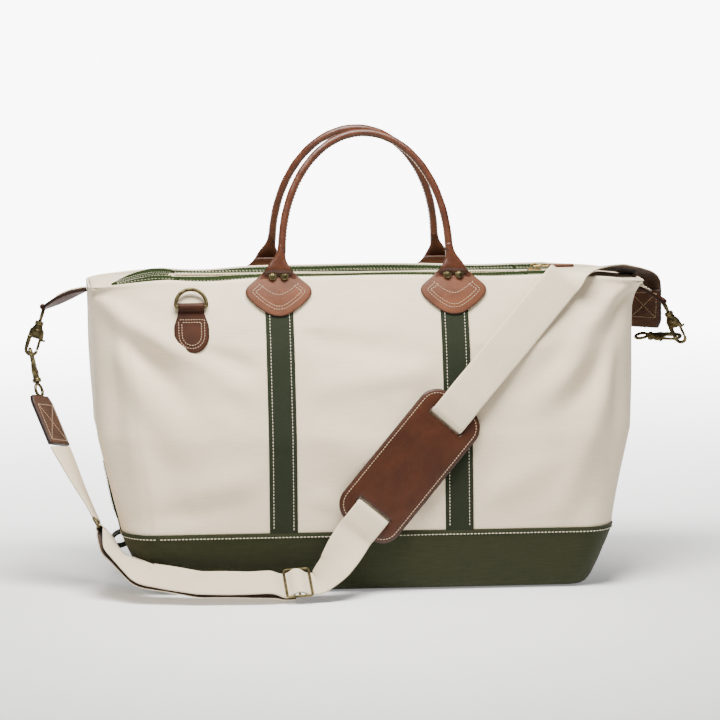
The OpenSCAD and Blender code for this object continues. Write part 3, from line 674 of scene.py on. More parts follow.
def arc_lengths(ring):
    """The distance along a closed ring to each of its points, and round to the first again."""
    steps = np.diff(np.vstack([ring, ring[:1]]), axis=0)
    return np.concatenate([[0], np.cumsum(np.linalg.norm(steps, axis=1))])


def canvas_shell():
    rows, columns = SURFACE.shape[:2]
    arc = arc_lengths(SURFACE[rows // 2])
    inner = []
    for ring in SURFACE[::-1]:
        inner.append([(p[0] - out[0] * SHELL_THICKNESS, p[1] - out[1] * SHELL_THICKNESS, p[2])
                      for p, out in zip(ring, outward(ring))])
    lip = (SURFACE[-1] + np.array(inner[0])) / 2 + np.array([0, 0, 0.9])
    heights = [*SURFACE_Z, BODY_TOP + 1, *(2 * BODY_TOP - SURFACE_Z[::-1])]
    build = Build()
    build.grid([*SURFACE, lip, *inner], closed=True,
               uv=[[(arc[j], height) for j in range(columns)] for height in heights],
               index=lambda i, j: 0 if i < rows + 1 else 1)
    build.piece("canvas_shell", [CANVAS, LINING], "canvas", replaces=("front_panel", "back_panel"))


canvas_shell()


# ---------------------------------------------------------------- boot
# the boot's rounded top edge, its side, and its rounded foot: height, and how far out it stands
BOOT_SIDE = [56, 50, 44, 37, 30, 23, 16, 10]
BOOT_PROFILE = [(BOOT_TOP + 1.2, -0.6), (BOOT_TOP + 1.6, 0.6), (BOOT_TOP + 0.6, 1.3),
                *((z, 1.2 + 0.9 * math.sin(math.pi * (BOOT_TOP - z) / BOOT_TOP)) for z in BOOT_SIDE),
                (5.5, 0.4), (2.4, -1.0), (0.7, -3.2), (0.0, -6.0)]


def boot():
    build = Build()
    points = []
    for z, out in BOOT_PROFILE:
        ring = ring_points(min(z, BOOT_TOP), -out)
        row = []
        for (x, y), normal in zip(ring, outward(ring)):
            wave = 0.9 * noise.noise(Vector((x * 0.02, y * 0.02, z * 0.05))) if 4 <= z <= 52 else 0.0
            row.append((x + normal[0] * wave, y + normal[1] * wave, z))
        points.append(row)
    arc = arc_lengths(points[8])
    build.grid(points, closed=True, uv=[[(a, p[2]) for a, p in zip(arc, row)] for row in points], flip=True)
    # the underside, drawn in towards the middle
    under = [[(x * share, y * share, 0.5 * (1 - share)) for x, y, _ in points[-1]]
             for share in (1.0, 0.97, 0.9, 0.7, 0.45, 0.2, 0.02)]
    build.grid(under, closed=True, uv=[[(x, y) for x, y, _ in row] for row in under], flip=True)
    build.piece("boot", GREEN_BOOT, "boot_canvas", replaces=("base_boot", "base_panel"))


def boot_stitches():
    z = BOOT_TOP - 3.0
    ring = ring_points(z, -1.35)
    normals = outward(ring)
    build = Build()
    stitches(build, [(x + out[0] * 0.35, y + out[1] * 0.35, z) for (x, y), out in zip(ring, normals)],
             [(*out, 0.0) for out in normals], pitch=3.6, length=2.7, radius=0.5, closed=True)
    build.piece("boot_stitches", THREAD, "boot_canvas")


boot()
boot_stitches()


# ---------------------------------------------------------------- sewn vertical straps
STRAP_TOP_Z = 299.0
STRAP_CLOTH = 1.15
STITCH_INSET = 4.0


def sewn_strip(build, columns, rows, thick, back):
    """A flat strip of cloth sewn to the canvas: columns are x, rows are z; its edges turn down."""
    grid = []
    tuck = 0.35 * math.copysign(1, columns[-1] - columns[0])
    for z in rows:
        line = [on_panel(x, z, 0.15 + thick, back)[0] for x in columns]
        grid.append([on_panel(columns[0] - tuck, z, -0.75, back)[0], *line,
                     on_panel(columns[-1] + tuck, z, -0.75, back)[0]])
    uv_x = [columns[0], *columns, columns[-1]]
    build.grid(grid, uv=[[(x, z) for x in uv_x] for z in rows], flip=back)


def panel_straps():
    rows = np.concatenate([np.linspace(BOOT_TOP + 0.5, 240, 30), np.linspace(246, STRAP_TOP_Z, 12)])
    for back, side_name in ((False, "front"), (True, "back")):
        thread = Build()
        for sign, name in ((-1, "left"), (1, "right")):
            build = Build()
            columns = [sign * STRAP_X + c for c in (-14.0, -13.4, -9, -4, 0, 4, 9, 13.4, 14.0)]
            sewn_strip(build, columns, rows, STRAP_CLOTH, back)
            build.piece(f"{side_name}_panel_strap_{name}", GREEN_STRAP, "boot_canvas",
                        replaces=(f"{side_name}_strap_{name}",))
            for offset in (-STRAP_HALF + STITCH_INSET, STRAP_HALF - STITCH_INSET):
                places = [on_panel(sign * STRAP_X + offset, z, 1.45, back)
                          for z in np.linspace(BOOT_TOP + 4, STRAP_TOP_Z, 60)]
                stitches(thread, [p for p, _ in places], [n for _, n in places])
        thread.piece(f"{side_name}_strap_stitches", THREAD, "boot_canvas")


panel_straps()


# ---------------------------------------------------------------- end strips and loops
END_STRIP_TOP = 118.0
END_STRIP_HALF = 11.0
LOOP_HEIGHT = 40.0
LOOP_CENTRE = 6.8


def end_strip(sign, name):
    """The upright strip over the end seam, and its two rows of stitches."""
    steps = (-1, -0.94, -0.5, 0, 0.5, 0.94, 1)
    grid = []
    for z in np.linspace(BOOT_TOP - 6, END_STRIP_TOP, 18):
        reach = level(LEVEL_HALF_LENGTH, z) + 2.4 + 0.5 * math.sin(z * 0.1)
        width = END_STRIP_HALF * (1.0 if z < END_STRIP_TOP - 6 else 0.55 + 0.45 * (END_STRIP_TOP - z) / 6)
        grid.append([(sign * (reach - 2.2), -width - 0.2, z),
                     *((sign * (reach - 0.5 * abs(s) ** 4), s * width, z) for s in steps),
                     (sign * (reach - 2.2), width + 0.2, z)])
    uvs = [[(p[1], p[2]) for p in line] for line in grid]
    build = Build()
    build.grid(grid, uv=uvs, flip=sign < 0)
    tucked = [(sign * (abs(x) - 2.4), y * 0.97, z + 1.2) for x, y, z in grid[-1]]
    build.grid([grid[-1], tucked], uv=[uvs[-1], uvs[-1]], flip=sign < 0)
    build.piece(f"end_strip_cloth_{name}", GREEN_STRAP, "boot_canvas", replaces=(f"end_strip_{name}",))
    thread = Build()
    for y in (-END_STRIP_HALF + 3, END_STRIP_HALF - 3):
        path = [(sign * (level(LEVEL_HALF_LENGTH, z) + 2.75 + 0.5 * math.sin(z * 0.1)), y, z)
                for z in np.linspace(BOOT_TOP + 4, END_STRIP_TOP - 4, 24)]
        stitches(thread, path, [(sign, 0, 0)] * len(path))
    thread.piece(f"end_strip_stitches_{name}", THREAD, "boot_canvas")


def end_loop(sign, name):
    """A small folded loop of the same cloth, standing out from the boot."""
    slope = math.atan2(LEVEL_HALF_LENGTH[1] - LEVEL_HALF_LENGTH[0], BOOT_TOP)
    base = level(LEVEL_HALF_LENGTH, LOOP_HEIGHT) + 0.4
    outline = []
    for a in np.linspace(-150, 150, 25):
        point = 1.0 + 0.25 * math.exp(-(a / 40.0) ** 2)
        turn = math.radians(a)
        outline.append((LOOP_CENTRE + 9.6 * math.cos(turn) * point, 7.0 * math.sin(turn)))
    columns = (-10, -9.6, -4, 0, 4, 9.6, 10)
    grid, uvs = [], []
    for offset in (1.0, -0.9):
        for x, z in outline if offset > 0 else outline[::-1]:
            scale = 1 + offset * 0.13
            px, pz = max(LOOP_CENTRE + (x - LOOP_CENTRE) * scale, 1.4 if offset < 0 else 0.6), z * scale
            wx = base + px * math.cos(slope) + pz * math.sin(slope)
            wz = LOOP_HEIGHT - px * math.sin(slope) + pz * math.cos(slope)
            grid.append([(sign * wx, y, wz) for y in columns])
            uvs.append([(y, x * 2 + z) for y in columns])
    build = Build()
    build.grid([*grid, grid[0]], uv=[*uvs, uvs[0]], flip=sign > 0)
    count, wide = len(outline), len(columns)
    for side in (0, wide - 1):
        for k in range(count - 1):
            corners = (k, k + 1, 2 * count - 2 - k, 2 * count - 1 - k)
            face = [corner * wide + side for corner in corners]
            build.cap(face if (side == 0) == (sign > 0) else face[::-1])
    build.piece(f"end_loop_cloth_{name}", GREEN_STRAP, "boot_canvas", replaces=(f"end_loop_{name}",))


for end_sign, end_name in ((-1, "left"), (1, "right")):
    end_strip(end_sign, end_name)
    end_loop(end_sign, end_name)


# ---------------------------------------------------------------- mouth: facings, tapes, teeth
MOUTH_Z = 311.5
MOUTH_EDGE = 54.5
FACING_WIDTH = 34.0
FACING_INNER = MOUTH_EDGE - FACING_WIDTH
LEFT_END = (-204.0, -190.5)
RIGHT_END = (165.5, 204.0)
FLAP = (-190.0, 165.0)
TAPE_Z = 309.2
TEETH_PITCH = 2.6
TOOTH_SECTION = ((-1, -0.7), (-0.7, -1), (0.7, -1), (1, -0.7), (1, 0.7), (0.7, 1), (-0.7, 1), (-1, 0.7))
# along the tooth: its distance from the zip's middle, half width and half height
TOOTH_PROFILE = ((4.6, 0.75, 1.0), (3.6, 0.85, 1.35), (2.2, 0.8, 1.3), (1.3, 0.62, 1.15), (0.95, 0.4, 0.8))


def facing_sag(across, back):
    """How a facing's soft cloth lies: across is 0 at its outer edge and 1 at its inner one."""
    return 0.2 - 2.0 * across if back else 2.6 * math.sin(math.pi * min(1.0, across)) - 0.8 * across


def facing(name, span, back, body, replaces):
    """One run of green facing: a folded strip, its outer edge tucked in at the rim of the mouth."""
    side = 1 if back else -1
    xs = np.linspace(span[0], span[1], max(4, int((span[1] - span[0]) / 6)))

    def height(x, y):
        share = (MOUTH_EDGE - y) / FACING_WIDTH
        sag = facing_sag(share, back) + 0.6 * math.sin(x * 0.045 + (1.2 if back else 0.0)) * share
        return MOUTH_Z - 0.2 + rim_wave(x) * (1 - share) + sag - end_drop(x) * 0.5
    ys = [MOUTH_EDGE + 0.6, MOUTH_EDGE - 0.4, 49, 44, 38, 32, 26, FACING_INNER + 0.8, FACING_INNER]
    under = [FACING_INNER + 0.6, 30, 42, MOUTH_EDGE]
    uv_row = [(y, 0) for y in ys] + [(y, 40) for y in (FACING_INNER, 30, 42, MOUTH_EDGE)]
    build, thread = Build(), Build()
    build.solid([[(x, side * y, height(x, y) - (0.7 if y in (ys[0], ys[-1]) else 0.0)) for y in ys]
                 + [(x, side * y, height(x, y) - 1.8) for y in under] for x in xs],
                uv=[[(x, y + shift) for y, shift in uv_row] for x in xs], flip=not back)
    build.piece(name, GREEN_FACING, "facing", body, replaces)
    for y in (MOUTH_EDGE - 4.5, FACING_INNER + 10.5, FACING_INNER + 3.2):
        path = [(x, side * y, height(x, y) + 0.25) for x in np.linspace(span[0] + 1, span[1] - 1, len(xs))]
        facing_stitches(thread, path)
    thread.piece(name + "_stitches", THREAD, "facing", body)


def facing_stitches(thread, path):
    stitches(thread, path, [(0, 0, 1)] * len(path), pitch=3.5, radius=0.22)


def tape(name, span, back, body, replaces=()):
    side = 1 if back else -1
    xs = np.linspace(span[0], span[1], max(3, int((span[1] - span[0]) / 10)))
    ys, under = [24.5, 24.0, 18, 12, 6, 4.2, 3.6], [3.6, 12, 24.0]
    build = Build()
    build.solid([[(x, side * y, TAPE_Z - (0.5 if y in (ys[0], ys[-1]) else 0.0)) for y in ys]
                 + [(x, side * y, TAPE_Z - 1.25) for y in under] for x in xs],
                uv=[[(x, y) for y in ys] + [(x, y + 30) for y in under] for x in xs], flip=not back)
    build.piece(name, ZIP_TAPE, "zip_tape", body, replaces)


def teeth(name, span, back, body, replaces=()):
    """Each tooth grips the cord of the tape and narrows to its tip."""
    side = 1 if back else -1
    build = Build()
    first = span[0] + 0.6 + (0.5 * TEETH_PITCH if back else 0.0)
    for k in range(int((span[1] - span[0] - TEETH_PITCH) / TEETH_PITCH)):
        x = first + k * TEETH_PITCH
        build.solid([[(x + wide * cx, side * y, 308.7 + tall * cz) for cx, cz in TOOTH_SECTION]
                     for y, wide, tall in TOOTH_PROFILE], flip=back)
    build.piece(name, ZIP_METAL, "zip_metal", body, replaces)


# the left ends of the facings close over the zip and run together to a tip at the front corner:
# share of the way to the tip, and where the outer and the inner edge are
TIP_X = -257.0
FRONT_SWEEP = [(0.0, -54.5, -20.5), (0.2, -54.8, -9.0), (0.4, -55.0, -15.0), (0.7, -55.0, -32.0),
               (1.0, -55.2, -53.0)]
BACK_SWEEP = [(0.0, 54.5, 20.5), (0.2, 53.5, -4.0), (0.45, 37.0, -15.0), (0.7, 10.0, -31.0),
              (1.0, -50.5, -53.5)]


def swept_facing(name, back):
    at, outer, inner = zip(*(BACK_SWEEP if back else FRONT_SWEEP))
    shares = np.linspace(0, 1, 26)
    edges = np.stack([np.interp(shares, at, outer), np.interp(shares, at, inner)], axis=1)
    edges = smoothed(edges, 6, keep_ends=1)

    def point(i, across, lift=0.0):
        """across is 0 at the outer edge and 1 at the inner one."""
        t = shares[i]
        x = LEFT_END[1] + (TIP_X - LEFT_END[1]) * t
        y = edges[i][0] * (1 - across) + edges[i][1] * across
        low = facing_sag(across, back) * (1 - t)
        over = (2.4 if back else 1.2) * min(1.0, 3 * t) + 0.8 * math.sin(math.pi * across) * t
        drop = end_drop(x) * (0.5 + 0.5 * t)
        return np.array([x, y, MOUTH_Z - 0.2 - drop + low + over + lift + rim_wave(x) * 0.6])
    steps = [0.0, 0.03, 0.15, 0.3, 0.45, 0.6, 0.75, 0.9, 0.97, 1.0]
    grid = [[point(i, a, -0.6 if a in (0.0, 1.0) else 0.0) for a in steps]
            + [point(i, a, -1.9) for a in (0.97, 0.6, 0.3, 0.03)] for i in range(len(shares))]
    build, thread = Build(), Build()
    build.solid(grid, uv=[[(p[0], p[1]) for p in row] for row in grid], flip=not back)
    build.piece(name, GREEN_FACING, "facing", replaces=("zip_end_left",))
    for across in (0.13, 0.66, 0.88):
        facing_stitches(thread, [point(i, across, 0.25) for i in range(1, len(shares) - 2)])
    thread.piece(name + "_stitches", THREAD, "facing")


def mouth():
    for back, name in ((False, "front"), (True, "back")):
        body = f"flap_{name}"
        facing(f"mouth_facing_{name}", FLAP, back, body, (f"zip_flap_{name}",))
        tape(f"zip_{name}_tape", FLAP, back, body, (f"zip_tape_{name}",))
        teeth(f"zip_{name}_teeth", FLAP, back, body, (f"zip_teeth_{name}",))
        facing(f"end_facing_right_{name}", RIGHT_END, back, "bag", ("zip_end_right",))
        swept_facing(f"end_facing_left_{name}", back)
        for span, end in ((LEFT_END, "left"), (RIGHT_END, "right")):
            tape(f"zip_end_{end}_{name}_tape", span, back, "bag")
            teeth(f"zip_end_{end}_{name}_teeth", span, back, "bag")


mouth()


GUSSET_END = 276.5


def gusset_point(x, y, begin, width, sign):
    """A point of the cream top beyond the zip, crowned and a little folded."""
    share = (x - begin) / (GUSSET_END - begin)
    crown = 1.4 * math.cos(math.pi * y / (2 * width)) * math.sin(math.pi * min(1, share + 0.15))
    fold = 0.7 * math.sin(y * 0.12 + x * 0.05) * math.sin(math.pi * share)
    turned_down = 0.8 * (max(0.0, abs(y) - width + 3) / 3) ** 2
    # the left one goes in under the swept facings
    tucked = 8.5 * between(x, 224.0, 208.0) if sign < 0 else 0.0
    wave = rim_wave(sign * x) * (abs(y) / width) ** 3
    return (sign * x + corner_flare(sign * x, BODY_TOP), y,
            MOUTH_Z - 0.3 - end_drop(x) + crown + fold - turned_down - tucked + wave)


def gusset(sign, name, begin):
    grid, uvs = [], []
    for x in np.linspace(begin, GUSSET_END, 14):
        width = MOUTH_EDGE + 0.8 - 16.8 * max(0.0, (x - begin) / (GUSSET_END - begin) - 0.75)
        ys = np.linspace(-width, width, 22)
        grid.append([gusset_point(x, y, begin, width, sign) for y in ys])
        uvs.append([(x, y) for y in ys])
    build = Build()
    build.grid(grid, uv=uvs, flip=sign < 0)
    build.grid([[(x, y, z - 1.6) for x, y, z in row] for row in grid], uv=uvs, flip=sign > 0)
    rows, columns = len(grid), len(grid[0])
    under = rows * columns
    for i in range(0, (rows - 1) * columns, columns):
        far = i + columns - 1
        build.cap([i, i + columns, under + i + columns, under + i][::sign])
        build.cap([far, far + columns, under + far + columns, under + far][::-sign])
    last = (rows - 1) * columns
    for j in range(columns - 1):
        build.cap([j, j + 1, under + j + 1, under + j][::-sign])
        build.cap([last + j, last + j + 1, under + last + j + 1, under + last + j][::sign])
    build.piece(f"top_gusset_cloth_{name}", CANVAS, "canvas", replaces=(f"top_gusset_{name}",))


gusset(1, "right", 204.5)
gusset(-1, "left", 191.5)


# ---------------------------------------------------------------- zip slider and pull
SLIDER_X = 182.0
PULL_Z = 314.9


def slider_plate(build, x0, x1, half, z0, z1, narrow=0.0, corner=1.2):
    """A flat plate with rounded corners, narrower at its high-X end by narrow."""
    outline = rounded_outline(x0, x1, half, corner, 5, narrow)
    middle = (x0 + x1) / 2
    build.solid([[(middle + (x - middle) * size, y * size, z) for x, y in outline]
                 for z, size in ((z0, 0.94), (z0 + 0.3, 1.0), (z1 - 0.35, 1.0), (z1, 0.9))])


def zip_slider():
    build = Build()
    slider_plate(build, SLIDER_X - 7, SLIDER_X + 7, 5.0, 305.3, 306.9, 1.4)
    slider_plate(build, SLIDER_X - 7, SLIDER_X + 7, 5.0, 310.5, 312.1, 1.4)
    slider_plate(build, SLIDER_X - 7, SLIDER_X + 1, 0.4, 306.3, 311.2, corner=0.3)
    bridge = [(SLIDER_X - 3.4, 0, 311.8), (SLIDER_X - 3.3, 0, 315.4), (SLIDER_X - 2.2, 0, 317.1),
              (SLIDER_X + 2.2, 0, 317.1), (SLIDER_X + 3.6, 0, 315.4), (SLIDER_X + 3.7, 0, 311.8)]
    path, _ = resample(bridge, 0.8)
    tube(build, smoothed(path, 3), 0.75, 8, start_up=(0, 1, 0), flatten=[(1.0, 1.5)] * len(path))
    build.piece("zip_slider_body", ZIP_METAL, "zip_metal", "slider", ("zip_slider",))


PULL_SIDE = [(181.6, 1.9), (183.0, 2.9), (186.5, 3.2), (190, 2.6), (196, 3.4), (199.2, 3.0), (200.1, 1.6)]


def zip_pull():
    build = Build()
    path, _ = resample([(x, -y) for x, y in PULL_SIDE] + PULL_SIDE[::-1], 0.9, closed=True)
    tube(build, [(x, y, PULL_Z) for x, y in path], 0.85, 8, closed=True)
    tube(build, [(190.2, -2.4, PULL_Z), (190.2, 2.4, PULL_Z)], 0.7, 8)
    build.piece("zip_pull_link", ZIP_METAL, "zip_metal", "pull", ("zip_pull",))

    build, thread = Build(), Build()
    grid, uvs, edges = [], [], []
    ends = (196.7, 223.4)
    for x in (ends[0], 197.0, *np.linspace(198, 221, 14), 222.6, ends[1]):
        taper = 5.0 if x < 219 else 5.0 - 2.0 * ((x - 219) / 4.6) ** 2
        half = 0.95 if x in ends else 1.65
        line, uv, edge = [], [], []
        for a in range(16):
            s, c = math.sin(2 * math.pi * a / 16), math.cos(2 * math.pi * a / 16)
            y, z = taper * math.copysign(abs(c) ** 0.45, c), half * math.copysign(abs(s) ** 0.6, s)
            line.append((x, y, PULL_Z + z))
            uv.append((y + (20 if s < 0 else 0), x))
            edge.append(max(0.0, (abs(y) - taper + 1.2) / 1.2))
        grid.append(line)
        uvs.append(uv)
        edges.append(edge)
    build.solid(grid, uv=uvs, edge=edges, flip=True)
    build.piece("zip_pull_leather", LEATHER, "leather", "pull", ("zip_pull_tab",))
    path, _ = resample([(201, -3), (219, -3), (220.5, 0), (219, 3), (201, 3)], 1.0)
    stitches(thread, [(x, y, PULL_Z + 1.62) for x, y in path], [(0, 0, 1)] * len(path), pitch=2.6,
             length=1.8, radius=0.3)
    thread.piece("zip_pull_stitches", LEATHER_THREAD, "leather", "pull")


zip_slider()
zip_pull()


# ---------------------------------------------------------------- chapes and handles
TILT = math.atan2(LEVEL_HALF_DEPTH[-2] - LEVEL_HALF_DEPTH[-1], LEVEL_Z[-1] - LEVEL_Z[-2])
CHAPE_Z, CHAPE_OUT, CHAPE_THICK = 293.0, 2.0, 2.6
CHAPE_HALF_WIDTH, CHAPE_HALF_HEIGHT = 34.0, 26.0
RIVET_ALONG = 21.0
HANDLE_Y, HINGE_Z = 62.5, 321.0
FOOT_Z, LEAN, HALF_SPAN, RISE, HANDLE_RADIUS = 338.0, math.radians(12), 85.0, 121.0, 3.95
LEATHER_STITCH = {"pitch": 2.7, "length": 1.9, "radius": 0.33}


def on_slope(x, along, z0=CHAPE_Z, out=0.0, back=False):
    """A point over the sloping upper front: along up the slope from height z0, and out of it."""
    depth = level(LEVEL_HALF_DEPTH, z0)
    y = -depth + along * math.sin(TILT) - out * math.cos(TILT)
    z = z0 + along * math.cos(TILT) + out * math.sin(TILT)
    return np.array([x, -y if back else y, z])


def slope_normal(back=False):
    n = np.array([0.0, -math.cos(TILT), math.sin(TILT)])
    return n * np.array([1, -1, 1]) if back else n


def leather_patch(build, outline, place, thick, round_edge=1.0, dome=0.6, uv_shift=0.0):
    """A flat leather shape: outline is (x, y) anticlockwise; place(x, y, out) gives its point."""
    pts = np.array(outline)
    centre = pts.mean(axis=0)
    # from the domed middle over the rounded edge and in again underneath: share, height, darkness
    layers = [(0.02, thick + dome, 0.0)]
    layers += [(k / 9, thick + dome * (1 - (k / 9) ** 2), 0.0) for k in range(1, 9)]
    edge = round_edge / float(np.linalg.norm(pts - centre, axis=1).mean())
    layers += [(1 - edge * 1.6, thick + dome * 0.05, 0.15), (1 - edge * 0.7, thick, 0.6),
               (1 - edge * 0.2, thick * 0.86, 1.0), (1.0, thick * 0.5, 1.0),
               (1 - edge * 0.3, thick * 0.12, 1.0), (1 - edge, 0.0, 0.8), (0.02, 0.0, 0.3)]
    flat = [[centre + (p - centre) * share for p in pts] for share, _, _ in layers]
    build.grid([[place(*p, out) for p in row] for row, (_, out, _) in zip(flat, layers)], closed=True,
               uv=[[(uv_shift + p[0], p[1]) for p in row] for row in flat],
               edge=[[dark] * len(pts) for _, _, dark in layers])


def inward(outline, by):
    """The outline moved inwards by a distance."""
    pts = np.array(outline)
    along = [unit(step) for step in np.roll(pts, -1, 0) - np.roll(pts, 1, 0)]
    return [p + np.array([-t[1], t[0]]) * by for p, t in zip(pts, along)]


# up the chape: the broad rounded foot, the hollow flanks and the neck, as (height, half width)
CHAPE_SHAPE = [(-20.5, 0.0), (-20.2, 4.0), (-19.0, 8.5), (-15.0, 15.5), (-8.0, 24.5), (-1.0, 31.2),
               (3.0, 33.5), (6.5, 34.0), (9.5, 33.0), (13.0, 29.5), (17.0, 24.6), (21.0, 20.0),
               (25.0, 15.8), (28.5, 12.6)]


def chape_outline():
    right = [(half, along) for along, half in CHAPE_SHAPE]
    dense, _ = resample(right + [(-half, along) for half, along in reversed(right[1:])], 2.2, closed=True)
    return [tuple(p) for p in smooth_loop(dense, 2)]


def smooth_loop(points, passes):
    pts = np.array(points, float)
    for _ in range(passes):
        pts = 0.25 * np.roll(pts, 1, 0) + 0.5 * pts + 0.25 * np.roll(pts, -1, 0)
    return pts


def chape(back, side_name, sign, name, thread):
    outline = chape_outline()
    x0 = sign * STRAP_X

    def place(x, y, out):
        curl = 0.9 * (abs(x) / CHAPE_HALF_WIDTH) ** 2 + 0.5 * max(0.0, -y / CHAPE_HALF_HEIGHT)
        return on_slope(x0 + x, y, out=CHAPE_OUT - 0.4 - curl + out, back=back)
    build = Build()
    leather_patch(build, outline[::-1] if back else outline, place, CHAPE_THICK,
                  uv_shift=sign * 90 + (300 if back else 0))
    build.piece(f"chape_leather_{side_name}_{name}", LEATHER, "leather",
                replaces=(f"chape_{side_name}_{name}",))
    normal = slope_normal(back)
    # two stitch lines inside the edge below the rivets, and the curved line across
    lines = []
    for inset in (7.0, 10.2):
        line = [p for p in inward(outline, inset) if p[1] < 17.0 - inset * 0.5]
        order = sorted(line, key=lambda p: math.atan2(p[0], 8.0 - p[1]))
        lines.append([place(p[0], p[1], CHAPE_THICK + 0.35) for p in order])
    lines.append([place(x, 1.5 + 13.0 * (abs(x) / 21.0) ** 1.6, CHAPE_THICK + 0.62)
                  for x in np.linspace(-21, 21, 30)])
    for path in lines:
        stitches(thread, path, [normal] * len(path), **LEATHER_STITCH)


def lean(point, back):
    """A point of the upright handle, leaned in about its hinge line."""
    x, y, z = point
    dy, dz = y + HANDLE_Y, z - HINGE_Z
    turned_y = dy * math.cos(LEAN) + dz * math.sin(LEAN)
    turned_z = -dy * math.sin(LEAN) + dz * math.cos(LEAN)
    y, z = turned_y - HANDLE_Y, turned_z + HINGE_Z
    return np.array([x, -y if back else y, z])


# the neck's middle line: up the slope of the bag and out from it, then share of the strap's place,
# distance in front of the roll and height over the hinge
NECK_SLOPE = [(14.0, 1.0), (19.0, 1.6), (24.5, 1.0)]
NECK_LEAN = [(1.0, 0.4, 3), (0.998, 0.0, 7), (0.99, 0.0, 11), (0.972, 0.0, 15), (0.96, 0.0, 19)]
# half width and half thickness at each point of that line
NECK_WIDTHS = [21.5, 20.0, 16.6, 13.6, 11.4, 9.0, 6.6, 5.1, 4.5, 4.15]
NECK_DEPTHS = [0.5, 1.0, 1.9, 2.6, 3.3, 3.8, 4.1, 4.2, 4.2, 4.15]
NECK_SIDES = 28


def neck(back, side_name, sign, name):
    """The leather that narrows from the chape's tongue to the roll of the handle."""
    x0 = sign * STRAP_X
    middle = [on_slope(x0, along, out=CHAPE_OUT + out) for along, out in NECK_SLOPE]
    middle.append(np.array([x0, -HANDLE_Y - 1.6, HINGE_Z - 1.5]))
    middle += [lean((x0 * share, -HANDLE_Y - out, HINGE_Z + up), False) for share, out, up in NECK_LEAN]
    middle.append(lean((sign * HALF_SPAN * 0.999, -HANDLE_Y, FOOT_Z + 8), False))
    rows, _ = resample(np.column_stack([middle, NECK_WIDTHS, NECK_DEPTHS]), 1.6)
    rows = smoothed(rows, 5)
    along = headings(rows[:, :3])
    lengths = np.concatenate([[0], np.cumsum(np.linalg.norm(np.diff(rows[:, :3], axis=0), axis=1))])
    grid, uvs, edges = [], [], []
    for i, row in enumerate(rows):
        centre, wide, deep = row[:3], row[3], row[4]
        out = unit(np.cross(along[i], (1.0, 0, 0)))
        out = -out if out[1] > 0 else out
        flatness = between(wide, 5, 14)
        ring, uv, edge = [], [], []
        power = 1 - 0.45 * flatness
        for j in range(NECK_SIDES):
            c, s = math.cos(2 * math.pi * j / NECK_SIDES), math.sin(2 * math.pi * j / NECK_SIDES)
            px = wide * math.copysign(abs(c) ** power, c)
            # small gathers where the flat tongue rolls up
            gather = flatness * math.sin(px * 1.3) * max(0.0, s) * i / len(rows)
            po = deep * math.copysign(abs(s) ** power, s) + gather
            point = centre + np.array([px, 0, 0]) + out * po
            ring.append(point * np.array([1, -1, 1]) if back else point)
            uv.append((px + (60 if s < 0 else 0), lengths[i]))
            edge.append(0.9 * flatness * max(0.0, (abs(c) - 0.93) / 0.07))
        grid.append(ring)
        uvs.append(uv)
        edges.append(edge)
    build = Build()
    build.solid(grid, uv=uvs, edge=edges, flip=back)
    made = build.piece(f"handle_neck_{side_name}_{name}", DARK_LEATHER if back else HANDLE_LEATHER,
                       "handle_leather", body=None)
    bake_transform(made)


def handle_middle(share):
    """The middle line of the upright roll, share going from 0 at its left foot to 1 at its right one."""
    a = math.pi * (1 - share)
    return np.array([HALF_SPAN * math.cos(a), -HANDLE_Y, FOOT_Z + 0.8 + RISE * math.sin(a)])


def handle(back, name):
    steps = 96
    path = [lean(handle_middle(k / steps), back) for k in range(steps + 1)]
    radii = [HANDLE_RADIUS * (1.0 + 0.03 * math.sin(k * 0.9) + 0.05 * math.exp(-(min(k, steps - k) / 6.0)))
             for k in range(steps + 1)]
    build = Build()
    # the sewn edge of the roll runs round the inner side of the arch
    tube(build, path, radii, 20, start_up=(1, 0, 0),
         seam_edge=lambda a: 0.75 * math.exp(-(((a % (2 * math.pi)) - math.pi / 2 - 0.35) / 0.16) ** 2))
    build.piece(f"handle_roll_{name}", HANDLE_LEATHER, "handle_leather", f"handle_{name}",
                (f"handle_{name}",))
    seam, normals = [], []
    for k in range(3, steps - 2):
        a = math.pi * (1 - k / steps)
        inner = unit((-math.cos(a) * 1.2, -0.35, -math.sin(a)))
        centre = handle_middle(k / steps)
        seam.append(lean(centre + inner * (HANDLE_RADIUS + 0.15), back))
        normals.append(unit(lean(centre + inner * (HANDLE_RADIUS + 1.15), back) - seam[-1]))
    thread = Build()
    stitches(thread, seam, normals, pitch=3.6, length=2.4, radius=0.36)
    thread.piece(f"handle_stitches_{name}", LEATHER_THREAD, "handle_leather", f"handle_{name}")


RIVET_PROFILE = [(1.9, -1.2), (4.1, 0.9), (4.4, 1.5), (4.25, 2.0), (3.7, 2.45), (3.2, 2.3), (2.9, 2.45),
                 (2.3, 2.9), (1.2, 3.2), (0.05, 3.3)]


def rivets():
    build = Build()
    for back in (False, True):
        across = np.cross(slope_normal(back), (1, 0, 0))
        for x in (-STRAP_X - 6, -STRAP_X + 6, STRAP_X - 6, STRAP_X + 6):
            at = on_slope(x, RIVET_ALONG, out=CHAPE_OUT + CHAPE_THICK + 0.4, back=back)
            lathe(build, RIVET_PROFILE, frame_at(at, (1, 0, 0), across))
    build.piece("rivet_caps", BRASS, "antique_brass", replaces=("chape_rivets",))


for is_back, face_name in ((False, "front"), (True, "back")):
    chape_thread = Build()
    for end_sign, end_name in ((-1, "left"), (1, "right")):
        chape(is_back, face_name, end_sign, end_name, chape_thread)
        neck(is_back, face_name, end_sign, end_name)
    chape_thread.piece(f"chape_stitches_{face_name}", LEATHER_THREAD, "leather")
handle(False, "front")
handle(True, "back")
rivets()


